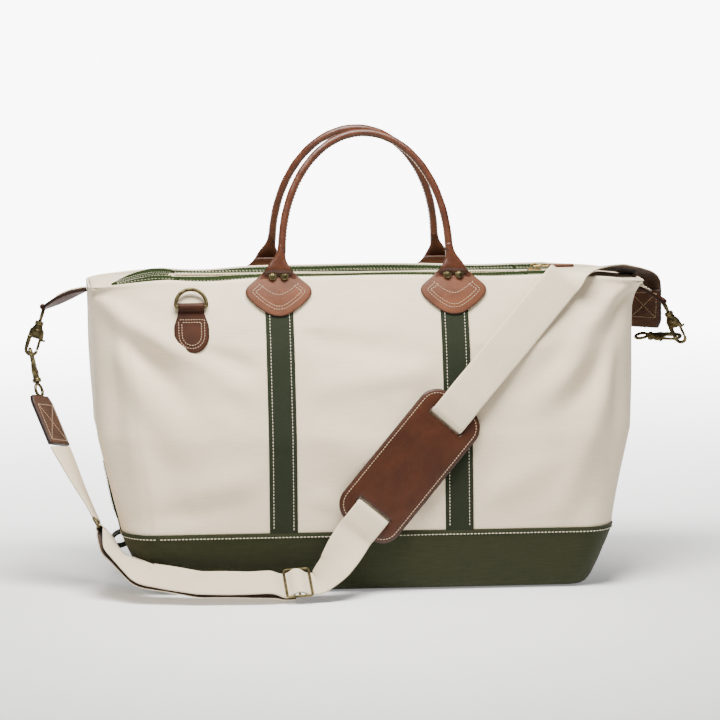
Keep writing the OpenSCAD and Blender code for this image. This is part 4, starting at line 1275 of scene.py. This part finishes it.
# ---------------------------------------------------------------- ring tab and D-ring
RING_X, RING_Z, RING_OUT, RING_R, RING_WIRE = -178.0, 284.0, 5.0, 15.5, 1.9


TAB_END, TAB_ROUND = -47.4, -29.0
TAB_HALF_TOP, TAB_HALF_LOW = 13.2, 17.6
# along the tab, how far its face stands out
TAB_FACE = [(-47.0, 2.5), (-45.0, 2.9), (-30.0, 3.1), (-18.0, 3.2), (-6.0, 3.5), (-1.5, 5.1), (0.0, 7.3)]
TAB_THREAD_OUT = 3.35


def tab_half_width(along):
    if along < TAB_ROUND:
        return max(0.6, TAB_HALF_LOW * math.sqrt(max(0.0, 1 - ((along - TAB_ROUND) / 18.4) ** 2)))
    share = between(along, -22, -4)
    return TAB_HALF_LOW + (TAB_HALF_TOP - TAB_HALF_LOW) * (share * share * (3 - 2 * share))


def ring_tab():
    """Leather that runs up the front, round the ring's bar and down behind."""
    flat = [(along, np.interp(along, *zip(*TAB_FACE))) for along in np.linspace(-47, -3, 30)]
    turn = [(3.78 * math.sin(a), RING_OUT + 4.2 * math.cos(a))
            for a in np.radians(np.linspace(-60, 130, 16))]
    grid, uvs, edges = [], [], []
    for along, out in flat + turn + [(2.6, RING_OUT - 4.0), (-1.0, 0.5)]:
        half = tab_half_width(along)
        line, uv, edge = [], [], []
        for c in np.linspace(-1, 1, 17):
            rounding = 0.9 * max(0.0, abs(c) - 0.86) / 0.14
            line.append(on_slope(RING_X + c * half, along, z0=RING_Z, out=out - rounding))
            uv.append((c * half + 150, along))
            edge.append(max(0.0, 1 - min(half * (1 - abs(c)), along - TAB_END) / 1.6))
        grid.append(line)
        uvs.append(uv)
        edges.append(edge)
    build = Build()
    build.grid(grid, uv=uvs, edge=edges)
    # the cut edge of the flat part, down to the canvas
    down, up = grid[len(flat)::-1], grid[1:len(flat) + 1]
    border = [row[0] for row in down] + grid[0][1:] + [row[-1] for row in up]
    drops = (0.0, 0.8, 1.7, 2.6)
    build.grid([[p - slope_normal() * drop for p in border] for drop in drops],
               uv=[[(k * 0.8, d) for k in range(len(border))] for d in range(len(drops))],
               edge=[[1.0] * len(border)] * len(drops), flip=True)
    build.piece("ring_tab_leather", DARK_LEATHER, "leather", replaces=("ring_tab",))
    thread = Build()
    for inset, top in ((3.4, -13.0), (6.6, -15.8)):
        reach = TAB_HALF_LOW - 1.2 - inset
        shield = [(-reach, top), (reach, top), (reach, -27.5)]
        shield += [(reach * math.cos(a), TAB_ROUND + (reach + 0.8) * math.sin(a))
                   for a in np.radians(range(-8, -173, -12))]
        path, _ = resample(shield + [(-reach, -27.5)], 1.2, closed=True)
        stitches(thread, [on_slope(RING_X + x, y, z0=RING_Z, out=TAB_THREAD_OUT) for x, y in path],
                 [slope_normal()] * len(path), closed=True, **LEATHER_STITCH)
    thread.piece("ring_tab_stitches", LEATHER_THREAD, "leather")


def d_ring():
    bow = [(-RING_R * math.cos(a), 2.5 + RING_R * math.sin(a)) for a in np.linspace(0, math.pi, 40)]
    path, _ = resample([(-RING_R, 0.0), *bow, (RING_R, 0.0)], 0.9, closed=True)
    build = Build()
    tube(build, [on_slope(RING_X + x, y, z0=RING_Z, out=RING_OUT) for x, y in smooth_loop(path, 2)],
         RING_WIRE, 14, closed=True)
    build.piece("d_ring_wire", BRASS, "antique_brass", "d_ring", ("d_ring",))


ring_tab()
d_ring()


# ---------------------------------------------------------------- snap hooks
WIRE, BOW_R, EYE_R, HOOK_REACH = 3.6, 5.6, 6.4, 44.0
LEFT_CROSS = np.array([-338.0, -1, 233])
LEFT_WING_EYE = np.array([-325.0, 0, 274])
LEFT_STRAP_EYE = np.array([-330.0, -16, 194])
RIGHT_WING_EYE = np.array([318.0, -8, 274])
RIGHT_STRAP_EYE = np.array([303.0, 17, 238])
RIGHT_WING_BOW = np.array([338.0, -6, 234])
CROSS_GAP = WIRE / 2 + 1.2
LEFT_END_ACROSS = (0.52, 0.8, -0.2)


def hook_place(bow, eye, side):
    """The hook's own frame, Z from its bow to its eye, X towards side."""
    z = unit(eye - bow)
    x = unit(np.array(side) - z * np.dot(side, z))
    return frame_at(bow, x, np.cross(z, x))


def hook_places():
    wing_left = LEFT_CROSS - CROSS_GAP * unit(LEFT_WING_EYE - LEFT_CROSS)
    strap_left = LEFT_CROSS - CROSS_GAP * unit(LEFT_STRAP_EYE - LEFT_CROSS)
    strap_right = RIGHT_WING_BOW + (BOW_R + 0.6) * unit(RIGHT_WING_EYE - RIGHT_WING_BOW)
    fold = np.cross(RIGHT_WING_EYE - RIGHT_WING_BOW, RIGHT_STRAP_EYE - strap_right)
    return {
        ("wing", "left"): hook_place(wing_left, LEFT_WING_EYE, (1, 0, 0)),
        ("strap", "left"): hook_place(strap_left, LEFT_STRAP_EYE, (-0.1, -1, 0)),
        ("wing", "right"): hook_place(RIGHT_WING_BOW, RIGHT_WING_EYE, strap_right - RIGHT_STRAP_EYE),
        ("strap", "right"): hook_place(strap_right, RIGHT_STRAP_EYE, fold * np.sign(-fold[1])),
    }


# which way an eye that is turned on its stem faces: along the leather that it holds
EYE_SIDES = {("wing", "left"): (0, 1, 0), ("wing", "right"): (0, 1, 0), ("strap", "left"): LEFT_END_ACROSS}


# up the hook's body: height, shift of its middle, half width and half depth
HOOK_SECTIONS = [(17.6, 1.2, 3.0, 2.2), (18.4, 0.6, 3.5, 2.5), (21.5, 0.2, 4.4, 3.0), (25.5, 0.1, 5.9, 3.4),
                 (28.5, 0.0, 5.1, 3.2), (31.0, 0.0, 4.2, 3.4), (33.4, 0.0, 3.5, 3.4)]


def hook(kind, side, place):
    """One trigger snap: bow and body, the sliding gate with its thumb knob, and the swivel eye."""
    build = Build()
    # bow, thicker towards its back, running up into the body
    bow = [(-BOW_R, 0, 19), (-BOW_R, 0, 12), (-BOW_R, 0, BOW_R)]
    bow += [(-BOW_R * math.cos(a), 0, BOW_R - BOW_R * math.sin(a)) for a in np.linspace(0.12, math.pi, 18)]
    path, at = resample(bow, 0.9)
    radii = [WIRE / 2 * (1.3 - 0.3 * t / at[-1]) if t < at[-1] - 1.2 else WIRE / 2 * 0.86 for t in at]
    radii = [min(r, WIRE / 2) if 12.5 < t else r for r, t in zip(radii, at)]
    tube(build, [put(place, p) for p in path], radii, 14)
    # body: a flattened pear that narrows to the swivel's stem, with the gate's channel open below
    rings = []
    for z, cx, half, deep in HOOK_SECTIONS:
        spread = 4.6 * between(z, 29, 19)
        rings.append([put(place, (cx + x, y, z)) for x, y in superellipse(half + spread, deep, 0.8, 22)])
    build.solid(rings)
    # collar of the swivel with its grooves
    lathe(build, [(3.2, 31.6), (4.3, 31.9), (4.7, 32.6), (4.7, 33.6), (4.1, 34.0), (4.5, 34.4), (4.5, 35.2),
                  (3.9, 35.6), (2.6, 35.7)], place, 22)
    lathe(build, [(1.5, -0.9), (2.1, -0.5), (2.1, 0.3), (1.4, 0.7), (0.1, 0.8)],
          place @ frame_at((0.0, -2.9, 25.2), (1, 0, 0), (0, 0, 1)), 14)
    build.piece(f"hook_body_{kind}_{side}", BRASS, "antique_brass", f"{kind}_snap_{side}",
                (f"{kind}_snap_{side}",))
    build = Build()
    gate = [(BOW_R, 0, BOW_R + 0.6), (BOW_R, 0, BOW_R + 14)]
    path, _ = resample(gate, 1.4)
    tube(build, [put(place, p) for p in path], [1.2] + [1.5] * (len(path) - 1), 12)
    knob = [(BOW_R + 0.8, 0, 16.6), (BOW_R + 2.6, 0, 16.9), (BOW_R + 4.4, 0, 17.5), (BOW_R + 5.2, 0, 18.2)]
    path, _ = resample(knob, 0.6)
    tube(build, [put(place, p) for p in path], np.linspace(0.8, 1.35, len(path)), 12)
    build.piece(f"hook_gate_{kind}_{side}", BRASS, "antique_brass", f"{kind}_gate_{side}",
                (f"{kind}_gate_{side}",))
    build = Build()
    # the eye is a D: round where the leather goes, drawn down to the stem
    ring = []
    turned = place
    if (kind, side) in EYE_SIDES:
        turned = hook_place(place[:3, 3], put(place, (0, 0, HOOK_REACH)), EYE_SIDES[kind, side])
    for k in range(44):
        a = 2 * math.pi * k / 44
        squeeze = 1.0 + 0.10 * max(0.0, math.sin(a)) - 0.05 * max(0.0, -math.sin(a))
        ring.append(put(turned, (EYE_R * squeeze * math.cos(a), 0, HOOK_REACH + EYE_R * math.sin(a))))
    tube(build, ring, 1.65, 12, closed=True)
    lathe(build, [(1.9, 35.9), (2.1, 36.3), (1.9, 36.9), (1.6, 37.8)], place, 16)
    build.piece(f"hook_eye_{kind}_{side}", BRASS, "antique_brass", "bag", (f"{kind}_eye_{side}",))


for (hook_kind, hook_side), where in hook_places().items():
    hook(hook_kind, hook_side, where)


# ---------------------------------------------------------------- bands: webbing and leather strips
WEB_WIDTH, WEB = 38.0, 2.0


def band_path(rows, step=2.5, passes=4):
    """Middle line and across directions of a band, from rows of (point, across, offset)."""
    points = [np.array(r[0], float) for r in rows]
    along = headings(points)
    middles, across = [], []
    for i, row in enumerate(rows):
        a = unit(np.array(row[1], float) - along[i] * np.dot(row[1], along[i]))
        middles.append(points[i] + np.cross(along[i], a) * row[2])
        across.append(a)
    data, at = resample(np.hstack([middles, across]), step)
    data = smoothed(data, passes)
    return data[:, :3], data[:, 3:], at


def band(build, middles, across, width, thick, at, lining=False, crown=0.0, edge_dark=0.0, ripple=0.0,
         shift=0.0):
    """A strip with rounded edges; +normal is its outer face. width may be one a row."""
    along = headings(middles)
    half_steps = [-1.0, -0.985, -0.9, -0.6, -0.3, 0.0, 0.3, 0.6, 0.9, 0.985, 1.0]
    grid, uvs, edges = [], [], []
    for i, middle in enumerate(middles):
        a = unit(across[i] - along[i] * np.dot(across[i], along[i]))
        n = np.cross(along[i], a)
        w = (width if np.isscalar(width) else width[i]) / 2
        wave = ripple * math.sin(at[i] * 0.11 + 1.0)
        row, uv, edge = [], [], []
        for face in (1, -1):
            steps = half_steps if face > 0 else half_steps[::-1]
            for s in steps:
                rounding = 1.0 if abs(s) < 0.95 else (0.8 if abs(s) < 0.99 else 0.4)
                out = face * thick / 2 * rounding + crown * (1 - s * s) * face + wave * s
                row.append(middle + a * s * w + n * out)
                uv.append((s * w + 20 + (50 if face < 0 else 0), at[i] + shift))
                border = w * (1 - abs(s))
                end = min(at[i] - at[0], at[-1] - at[i])
                edge.append(edge_dark * max(0.0, 1 - min(border, end) / 1.7))
        grid.append(row)
        uvs.append(uv)
        edges.append(edge)
    columns = len(grid[0])
    # with lining set, the underside faces take the second material, the dark brown of the webbing's underside
    build.solid(grid, uv=uvs, edge=edges, flip=True,
                index=(lambda i, j: 1 if len(half_steps) < j < columns - 1 else 0) if lining else 0)


def band_point(middles, across, at, where, s, out):
    """A point s across a band (in mm from its middle) and its normal, at a distance along it."""
    i = int(min(max(np.searchsorted(at, where), 1), len(at) - 1))
    share = (where - at[i - 1]) / (at[i] - at[i - 1])
    middle = middles[i - 1] * (1 - share) + middles[i] * share
    heading = unit(middles[i] - middles[i - 1])
    a = unit(across[i] - heading * np.dot(across[i], heading))
    n = np.cross(heading, a)
    return middle + a * s + n * out, n


LOOP_AT = np.array([-270.0, -76, 62])
LOOP_HEADING = unit((0.45, -0.55, -0.7))
LOOP_ACROSS = unit(np.array([0.3, 0.8, -0.45]) - LOOP_HEADING * np.dot((0.3, 0.8, -0.45), LOOP_HEADING))
LOOP_NORMAL = np.cross(LOOP_HEADING, LOOP_ACROSS)
LOOP_BAR, LOOP_TURN = 5.5, 3.6
SLIDE_AT = np.array([-78.0, -151, 17])
SLIDE_HEADING = unit((1, 0, 0.06))
SLIDE_ACROSS = (0, 0.88, 0.44)
OVER = 1.2 + WEB / 2 + 0.9
PAD_AT = np.array([38.0, -116.5, 127])
PAD_ANGLE, PAD_TILT = math.radians(49.7), math.radians(8.4)
PAD_LENGTH, PAD_WIDTH, PAD_THICKNESS, PAD_CORNER = 165.0, 71.0, 5.0, 21.0
SLOT_AT, SLOT, SLOT_HALF = 58.0, 8.0, 20.5
PAD_OUT = np.array([0, -math.cos(PAD_TILT), math.sin(PAD_TILT)])
PAD_ALONG = np.array([math.cos(PAD_ANGLE), math.sin(PAD_ANGLE) * math.sin(PAD_TILT),
                      math.sin(PAD_ANGLE) * math.cos(PAD_TILT)])
PAD_ACROSS = np.array([-math.sin(PAD_ANGLE), math.cos(PAD_ANGLE) * math.sin(PAD_TILT),
                       math.cos(PAD_ANGLE) * math.cos(PAD_TILT)])
RIGHT_END_ACROSS = (-0.8, 0.6, 0)


def loop_point(along):
    return LOOP_AT + LOOP_HEADING * along


def slide_point(along):
    return SLIDE_AT + SLIDE_HEADING * along


def pad_row(along, out):
    return (PAD_AT + along * PAD_ALONG + out * PAD_OUT, PAD_ACROSS, 0)


PAIR = [(loop_point(14), LOOP_ACROSS, 3.4), ((-256, -113, 40), (0.3, 0.85, -0.05), 2.6),
        ((-229, -138, 25), (0.15, 0.85, 0.4), 1.8), ((-176, -149, 17), (0.05, 0.87, 0.42), 1.8),
        ((-128, -152, 16), (0, 0.88, 0.4), 2.2), ((-104, -152, 16), (0, 0.88, 0.4), 3)]


def strap_rows():
    rows = [(slide_point(-4), SLIDE_ACROSS, OVER + WEB + 1), (slide_point(-15), SLIDE_ACROSS, OVER + WEB + 1)]
    rows += PAIR[::-1]
    rows += [(loop_point(LOOP_BAR - LOOP_TURN * math.sin(math.radians(a)))
              - LOOP_NORMAL * LOOP_TURN * math.cos(math.radians(a)), LOOP_ACROSS, 0) for a in range(0, 181, 45)]
    rows += PAIR
    rows += [(slide_point(s), SLIDE_ACROSS, o) for s, o in
             ((-15, -OVER), (-9, -OVER), (-3, OVER), (3, OVER), (9, -OVER), (20, -OVER))]
    rows += [((-40, -147, 33), (-0.35, 0.7, 0.6), 0), ((-28, -139, 50), (-0.6, 0.35, 0.64), 0)]
    over, under = PAD_THICKNESS + WEB / 2 + 0.5, -WEB / 2 - 0.6
    rows += [pad_row(-88, 4), pad_row(-80, over), pad_row(-SLOT_AT - 1.5, over), pad_row(-SLOT_AT + 1.5, under),
             pad_row(SLOT_AT - 1.5, under), pad_row(SLOT_AT + 1.5, over), pad_row(80, over), pad_row(90, 4)]
    rows += [((143, -91, 245), PAD_ACROSS, 0), ((202, -66.5, 309), PAD_ACROSS, 0),
             ((211, -58, 314), (-0.65, 0.6, 0.1), 0), ((224, -44, 315.5), (-0.62, 0.7, -0.05), 0),
             ((242, -25, 315.5), (-0.6, 0.6, -0.14), 0), ((261, -6, 313.5), (-0.6, 0.6, -0.16), 0),
             ((283, 8, 309), (-0.65, 0.65, -0.12), 0), ((297, 15, 303), (-0.75, 0.65, -0.05), 0),
             ((302, 17, 296), RIGHT_END_ACROSS, 0), ((302, 18, 288), RIGHT_END_ACROSS, 0)]
    return rows


def shoulder_strap():
    middles, across, at = band_path(strap_rows(), 1.8, 5)
    build = Build()
    # lining=True gives the webbing's underside the dark brown second material
    band(build, middles, across, WEB_WIDTH, WEB, at, lining=True, ripple=0.25)
    main = build.piece("strap_webbing", [WEBBING, STRAP_DARK_UNDERSIDE], "webbing", replaces=("strap_main",))
    rows = [((-310.2, -43, 141), LEFT_END_ACROSS, 0), ((-297, -56, 114), (0.45, 0.82, -0.3), 0),
            ((-283, -62, 86), LOOP_ACROSS, 0), (loop_point(-11), LOOP_ACROSS, 0)]
    middles, across, at = band_path(rows, 2.5, 6)
    build = Build()
    band(build, middles, across, WEB_WIDTH, WEB, at, ripple=0.3)
    short = build.piece("strap_webbing_short", WEBBING, "webbing", replaces=("strap_short",))


shoulder_strap()


def bar_frame(name, place, half_x, half_y, wire, bars, replaced):
    """A rounded wire frame with straight bars across it, such as a loop or a slide."""
    build = Build()
    path, _ = resample(rounded_outline(-half_x, half_x, half_y, 2.6, 7), 1.2, closed=True)
    tube(build, [put(place, (x, y, 0)) for x, y in path], wire, 12, closed=True)
    for x, radius in bars:
        tube(build, [put(place, (x, y, 0)) for y in np.linspace(-half_y, half_y, 12)], radius, 12)
    build.piece(name, BRASS, "antique_brass", replaces=(replaced,))


bar_frame("loop_frame", frame_at(LOOP_AT, LOOP_HEADING, LOOP_ACROSS), 5.5, 21.5, 1.5, (), "strap_loop")
bar_frame("slide_frame", frame_at(SLIDE_AT, SLIDE_HEADING, SLIDE_ACROSS), 12.6, 21.6, 1.35, ((0.0, 1.35),),
          "strap_slide")


# ---------------------------------------------------------------- leather ends of the strap
def strap_end(name, start, end, across, replaced):
    """Leather folded over the webbing and the hook's eye, with a box of stitches crossed by an X."""
    middles, across_all, at = band_path([(start, across, 0), (end, across, 0)], 1.6, 0)
    length = at[-1]
    widths = [WEB_WIDTH - 7.0 * max(0.0, 1 - t / 9.0) ** 1.5 for t in at]
    build = Build()
    band(build, middles, across_all, widths, 4.4, at, edge_dark=1.0, crown=0.25, shift=200)
    build.piece(name, END_LEATHER, "leather", replaces=(replaced,))
    thread = Build()
    inset = 4.0
    half = WEB_WIDTH / 2 - inset
    low, high = 11.0, length - inset
    corners = [(low, -half + 1), (low, half - 1), (high, half), (high, -half)]
    lines = [corners + corners[:1], [corners[0], corners[2]], [corners[1], corners[3]]]
    for face in (1, -1):
        for line in lines:
            path, _ = resample(line, 1.5)
            placed = [band_point(middles, across_all, at, t, s, face * 2.62) for t, s in path]
            stitches(thread, [p for p, _ in placed], [n * face for _, n in placed], pitch=2.8, length=2.0,
                     radius=0.34)
    thread.piece(name + "_stitches", LEATHER_THREAD, "leather")


strap_end("strap_end_leather_left", (-330.2, -17.9, 189), (-311, -42, 143), LEFT_END_ACROSS, "strap_end_left")
strap_end("strap_end_leather_right", (302.5, 18, 247), (302, 18, 287.5), RIGHT_END_ACROSS, "strap_end_right")


# ---------------------------------------------------------------- wing tabs at the top corners
def wing_tab(name, rows, replaced, webbing_share):
    """Leather folded round the hook's eye, with the corner's webbing sewn on top of it."""
    middles, across, at = band_path(rows, 1.5, 3)
    build, thread = Build(), Build()
    widths = [25.0 - 6.0 * max(0.0, (t - at[-1] + 8) / 8) for t in at]
    out = np.cross(headings(middles), across)
    lower = middles - out * 0.9
    band(build, lower, across, widths, 3.0, at, edge_dark=1.0, crown=0.2, shift=90)
    # the fold round the wire of the eye
    end, way = middles[-1], headings(middles)[-1]
    tube(build, [end - way * 1.5 + unit(across[-1]) * y for y in np.linspace(-9.3, 9.3, 9)], 3.1, 14)
    build.piece(name, DARK_LEATHER, "leather", replaces=(replaced,))
    build = Build()
    count = int(len(middles) * webbing_share)
    upper = (middles + out * 1.55)[:count]
    taper = [23.0 if t < at[count - 1] - 9 else 23.0 - 1.2 * (t - at[count - 1] + 9) for t in at[:count]]
    band(build, upper, across[:count], taper, 1.7, at[:count], ripple=0.2)
    build.piece(name + "_webbing", WEBBING, "webbing")
    for s in (-8.4, 8.4):
        path = [band_point(middles, across, at, t, s, 2.55)
                for t in np.linspace(at[0] + 2, at[count - 1] - 2, 24)]
        stitches(thread, [p for p, _ in path], [n for _, n in path])
    thread.piece(name + "_stitches", THREAD, "webbing")


wing_tab("wing_leather_left", [((-280.5, 0, 297), (0, -1, 0.15), 0), ((-296, 0, 292), (0, -0.92, 0.38), 0),
                               ((-310, 0, 286), (0, -0.9, 0.42), 0), ((-326, 0, 278), (0, -0.97, 0.22), 0)],
         "wing_tab_left", 0.72)
wing_tab("wing_leather_right", [((280.5, -8, 297), (0, 1, 0), 0), ((294, -8, 292), (0, 1, 0), 0),
                                ((304, -8, 286), (0, 1, 0), 0), ((317, -8, 277.5), (0, 1, 0), 0)],
         "wing_tab_right", 0.62)


# ---------------------------------------------------------------- shoulder pad
PAD_GRID = (96, 42)
PAD_FACE = PAD_THICKNESS - 1.2
PAD_SEAM = 4.0


def pad_place(x, y, out):
    return PAD_AT + PAD_ALONG * x + PAD_ACROSS * y + PAD_OUT * out


def on_pad(u, v):
    """The square -1..1 mapped on to the rounded outline, and the distance to its edge."""
    half_x, half_y = PAD_LENGTH / 2, PAD_WIDTH / 2
    x, y = u * half_x, v * half_y
    cx, cy = half_x - PAD_CORNER, half_y - PAD_CORNER
    if abs(x) <= cx or abs(y) <= cy:
        return x, y, min(half_x - abs(x), half_y - abs(y))
    dx, dy = (abs(x) - cx) / PAD_CORNER, (abs(y) - cy) / PAD_CORNER
    far = max(dx, dy)
    shrink = far / max(math.hypot(dx, dy), 1e-6)
    x, y = math.copysign(cx + dx * shrink * PAD_CORNER, x), math.copysign(cy + dy * shrink * PAD_CORNER, y)
    return x, y, PAD_CORNER * (1 - far)


def pad_height(x, y, border, face):
    """The padded top, with its sewn channel and its dips at the slots, or the flat underside."""
    rounding = 1 - math.exp(-border / 1.3)
    if face < 0:
        return 0.35 * (1 - rounding)
    channel = 0.45 * math.exp(-((border - PAD_SEAM) / 0.8) ** 2)
    puff = 0.9 * (1 - math.exp(-max(0.0, border - PAD_SEAM) / 9.0))
    slot = math.exp(-((abs(x) - SLOT_AT) / 6.0) ** 2 - (max(0.0, abs(y) - 18) / 3.0) ** 2)
    uneven = 0.18 * noise.noise(Vector((x * 0.05, y * 0.05, 4.0)))
    return PAD_FACE * (0.55 + 0.45 * rounding) - channel + puff - 0.5 * slot + uneven + 0.3


def pad_darkness(x, y, border):
    slot_edge = between(max(abs(abs(x) - SLOT_AT) - SLOT / 2, abs(y) - SLOT_HALF), 1.5, 0)
    return min(1.0, max(0.0, 1.25 - border / 1.6) + 0.6 * slot_edge)


def shoulder_pad():
    """A padded leather slip with two slots; the webbing runs under its middle and over its ends."""
    nx, ny = PAD_GRID
    us, vs = np.linspace(-1, 1, nx), np.linspace(-1, 1, ny)
    spots = [[on_pad(u, v) for v in vs] for u in us]
    build = Build()
    for face in (1, -1):
        build.grid([[pad_place(*spot[:2], pad_height(*spot, face)) for spot in row] for row in spots],
                   uv=[[(x + 200, y + (100 if face < 0 else 0)) for x, y, _ in row] for row in spots],
                   edge=[[pad_darkness(*spot) for spot in row] for row in spots], flip=face < 0)
    # the faces over the slots are left out
    solid = [abs(abs(us[i] + us[i + 1]) / 2 * PAD_LENGTH / 2 - SLOT_AT) >= SLOT / 2
             or abs(vs[j] + vs[j + 1]) / 2 * PAD_WIDTH / 2 >= SLOT_HALF
             for i in range(nx - 1) for j in range(ny - 1)]
    build.faces = [face for face, kept in zip(build.faces, solid * 2) if kept]
    build.index = [0] * len(build.faces)
    # the rims are closed between the two faces, outside and in the slots
    uses = {}
    for corners in build.faces:
        for a, b in zip(corners, corners[1:] + corners[:1]):
            uses.setdefault((min(a, b), max(a, b)), []).append((a, b))
    under = nx * ny
    for (_, high), found in uses.items():
        if len(found) == 1 and high < under:
            a, b = found[0]
            build.cap([b, a, a + under, b + under])
    made = build.piece("shoulder_pad_leather", PAD_LEATHER, "pad_leather", replaces=("shoulder_pad",))
    outline = rounded_outline(-PAD_LENGTH / 2, PAD_LENGTH / 2, PAD_WIDTH / 2, PAD_CORNER, 13)
    path, _ = resample(inward(outline, PAD_SEAM), 1.6, closed=True)
    thread = Build()
    stitches(thread, [pad_place(x, y, PAD_FACE + 0.3) for x, y in path], [PAD_OUT] * len(path),
             pitch=3.0, length=2.1, radius=0.4, closed=True)
    thread.piece("shoulder_pad_stitches", LEATHER_THREAD, "pad_leather")


shoulder_pad()


# ---------------------------------------------------------------- inside
POCKET_Z, POCKET_HALF = (120, 240), 110


def inner_pocket():
    """An open cloth pocket that hangs a little slack from the back wall."""
    grid = []
    for z in np.linspace(*POCKET_Z, 22):
        depth = level(LEVEL_HALF_DEPTH, z) - 5.2
        line = []
        for x in np.linspace(-POCKET_HALF, POCKET_HALF, 30):
            slack = 2.6 * math.sin(math.pi * (z - POCKET_Z[0]) / 150) * math.cos(math.pi * x / 240)
            slack += 0.5 * noise.noise(Vector((x * 0.03, z * 0.03, 2.0)))
            line.append((x, depth - max(0.0, slack), z))
        grid.append(line)
    uvs = [[(x, z) for x, _, z in row] for row in grid]
    build = Build()
    build.grid(grid, uv=uvs)
    build.grid([[(x, y + 0.9, z) for x, y, z in row] for row in grid], uv=uvs, flip=True)
    rows, columns = len(grid), len(grid[0])
    under, last = rows * columns, (rows - 1) * columns
    for j in range(columns - 1):
        build.cap([under + j + 1, under + j, j, j + 1])
        build.cap([under + last + j, under + last + j + 1, last + j + 1, last + j])
    build.piece("inner_pocket_cloth", LINING, "lining", replaces=("inner_pocket",))
    thread = Build()
    for z in (231.0, 236.0):
        depth = level(LEVEL_HALF_DEPTH, z) - 6.4
        path = [(x, depth - 1.6 * math.cos(math.pi * x / 240), z) for x in np.linspace(-108, 108, 60)]
        stitches(thread, path, [(0, -1, 0)] * len(path))
    thread.piece("inner_pocket_stitches", THREAD, "lining")


inner_pocket()


def finish_nodes():
    """The CAD nodes that stay shown take their finish here."""
    for name, material in {"base_board": BOARD, "handle_core_front": CORE_CORD,
                           "handle_core_back": CORE_CORD}.items():
        data = frame["nodes"][name].data
        data.materials.clear()
        data.materials.append(material)


finish_nodes()


# ---------------------------------------------------------------- floor and light
FLOOR_REACH, FLOOR_Z = 12.0, -0.001
SOFT_LIGHT, BACKDROP, FLOOR_GLOW = 0.14, 9.0, 9.0
WARM_WHITE = (1, 0.985, 0.955)


def floor():
    """A plain pale floor that glows, faintly near the bag and more and more behind it, rising into the white of
    the backdrop; its glow also lights the bag.
    """
    corners = [(x * FLOOR_REACH, y * FLOOR_REACH, FLOOR_Z) for x, y in ((-1, -1), (1, -1), (1, 1), (-1, 1))]
    data = bpy.data.meshes.new("floor")
    data.from_pydata(corners, [], [(0, 1, 2, 3)])
    material, tree, shader = new_material("floor", Roughness=0.95, Specular_IOR_Level=0.1)
    shader.inputs["Base Color"].default_value = (0.97, 0.97, 0.97, 1)
    shader.inputs["Emission Color"].default_value = (1, 1, 1, 1)
    place = node(tree, "ShaderNodeTexCoord").outputs["Object"]
    behind = node(tree, "ShaderNodeSeparateXYZ", i0=place).outputs[1]
    glow = calc(tree, "POWER", remap(tree, behind, -0.1, 2.0, 0.05, 1.0), 1.2)
    tree.links.new(times(tree, glow, FLOOR_GLOW), shader.inputs["Emission Strength"])
    data.materials.append(material)
    made = bpy.data.objects.new("floor", data)
    scene.collection.objects.link(made)


def world():
    """Soft light from all round; the camera sees a backdrop that is brighter than the light it gives."""
    made = bpy.data.worlds.new("world")
    scene.world = made
    made.use_nodes = True
    tree = made.node_tree
    soft = tree.nodes["Background"]
    soft.inputs[0].default_value = (1.0, 1.0, 1.0, 1)
    soft.inputs[1].default_value = SOFT_LIGHT
    white = node(tree, "ShaderNodeBackground", Color=(1, 1, 1, 1), Strength=BACKDROP)
    seen = node(tree, "ShaderNodeLightPath").outputs["Is Camera Ray"]
    both = node(tree, "ShaderNodeMixShader", i0=seen, i1=soft.outputs[0], i2=white.outputs[0])
    tree.links.new(both.outputs[0], tree.nodes["World Output"].inputs["Surface"])


def area_light(name, size, power, at, to):
    light = bpy.data.lights.new(name, "AREA")
    light.shape = "RECTANGLE"
    light.size, light.size_y = size
    light.energy = power
    light.color = WARM_WHITE
    lamp = bpy.data.objects.new(name, light)
    lamp.location = at
    lamp.visible_camera = False
    lamp.rotation_euler = (Vector(to) - Vector(at)).to_track_quat("-Z", "Y").to_euler()
    scene.collection.objects.link(lamp)


floor()
world()
area_light("key", (0.6, 0.3), 9, (-0.35, -0.62, 1.35), (-0.05, -0.05, 0.28))
area_light("top", (0.6, 0.3), 19, (-0.05, -0.27, 0.95), (-0.02, -0.07, 0.28))
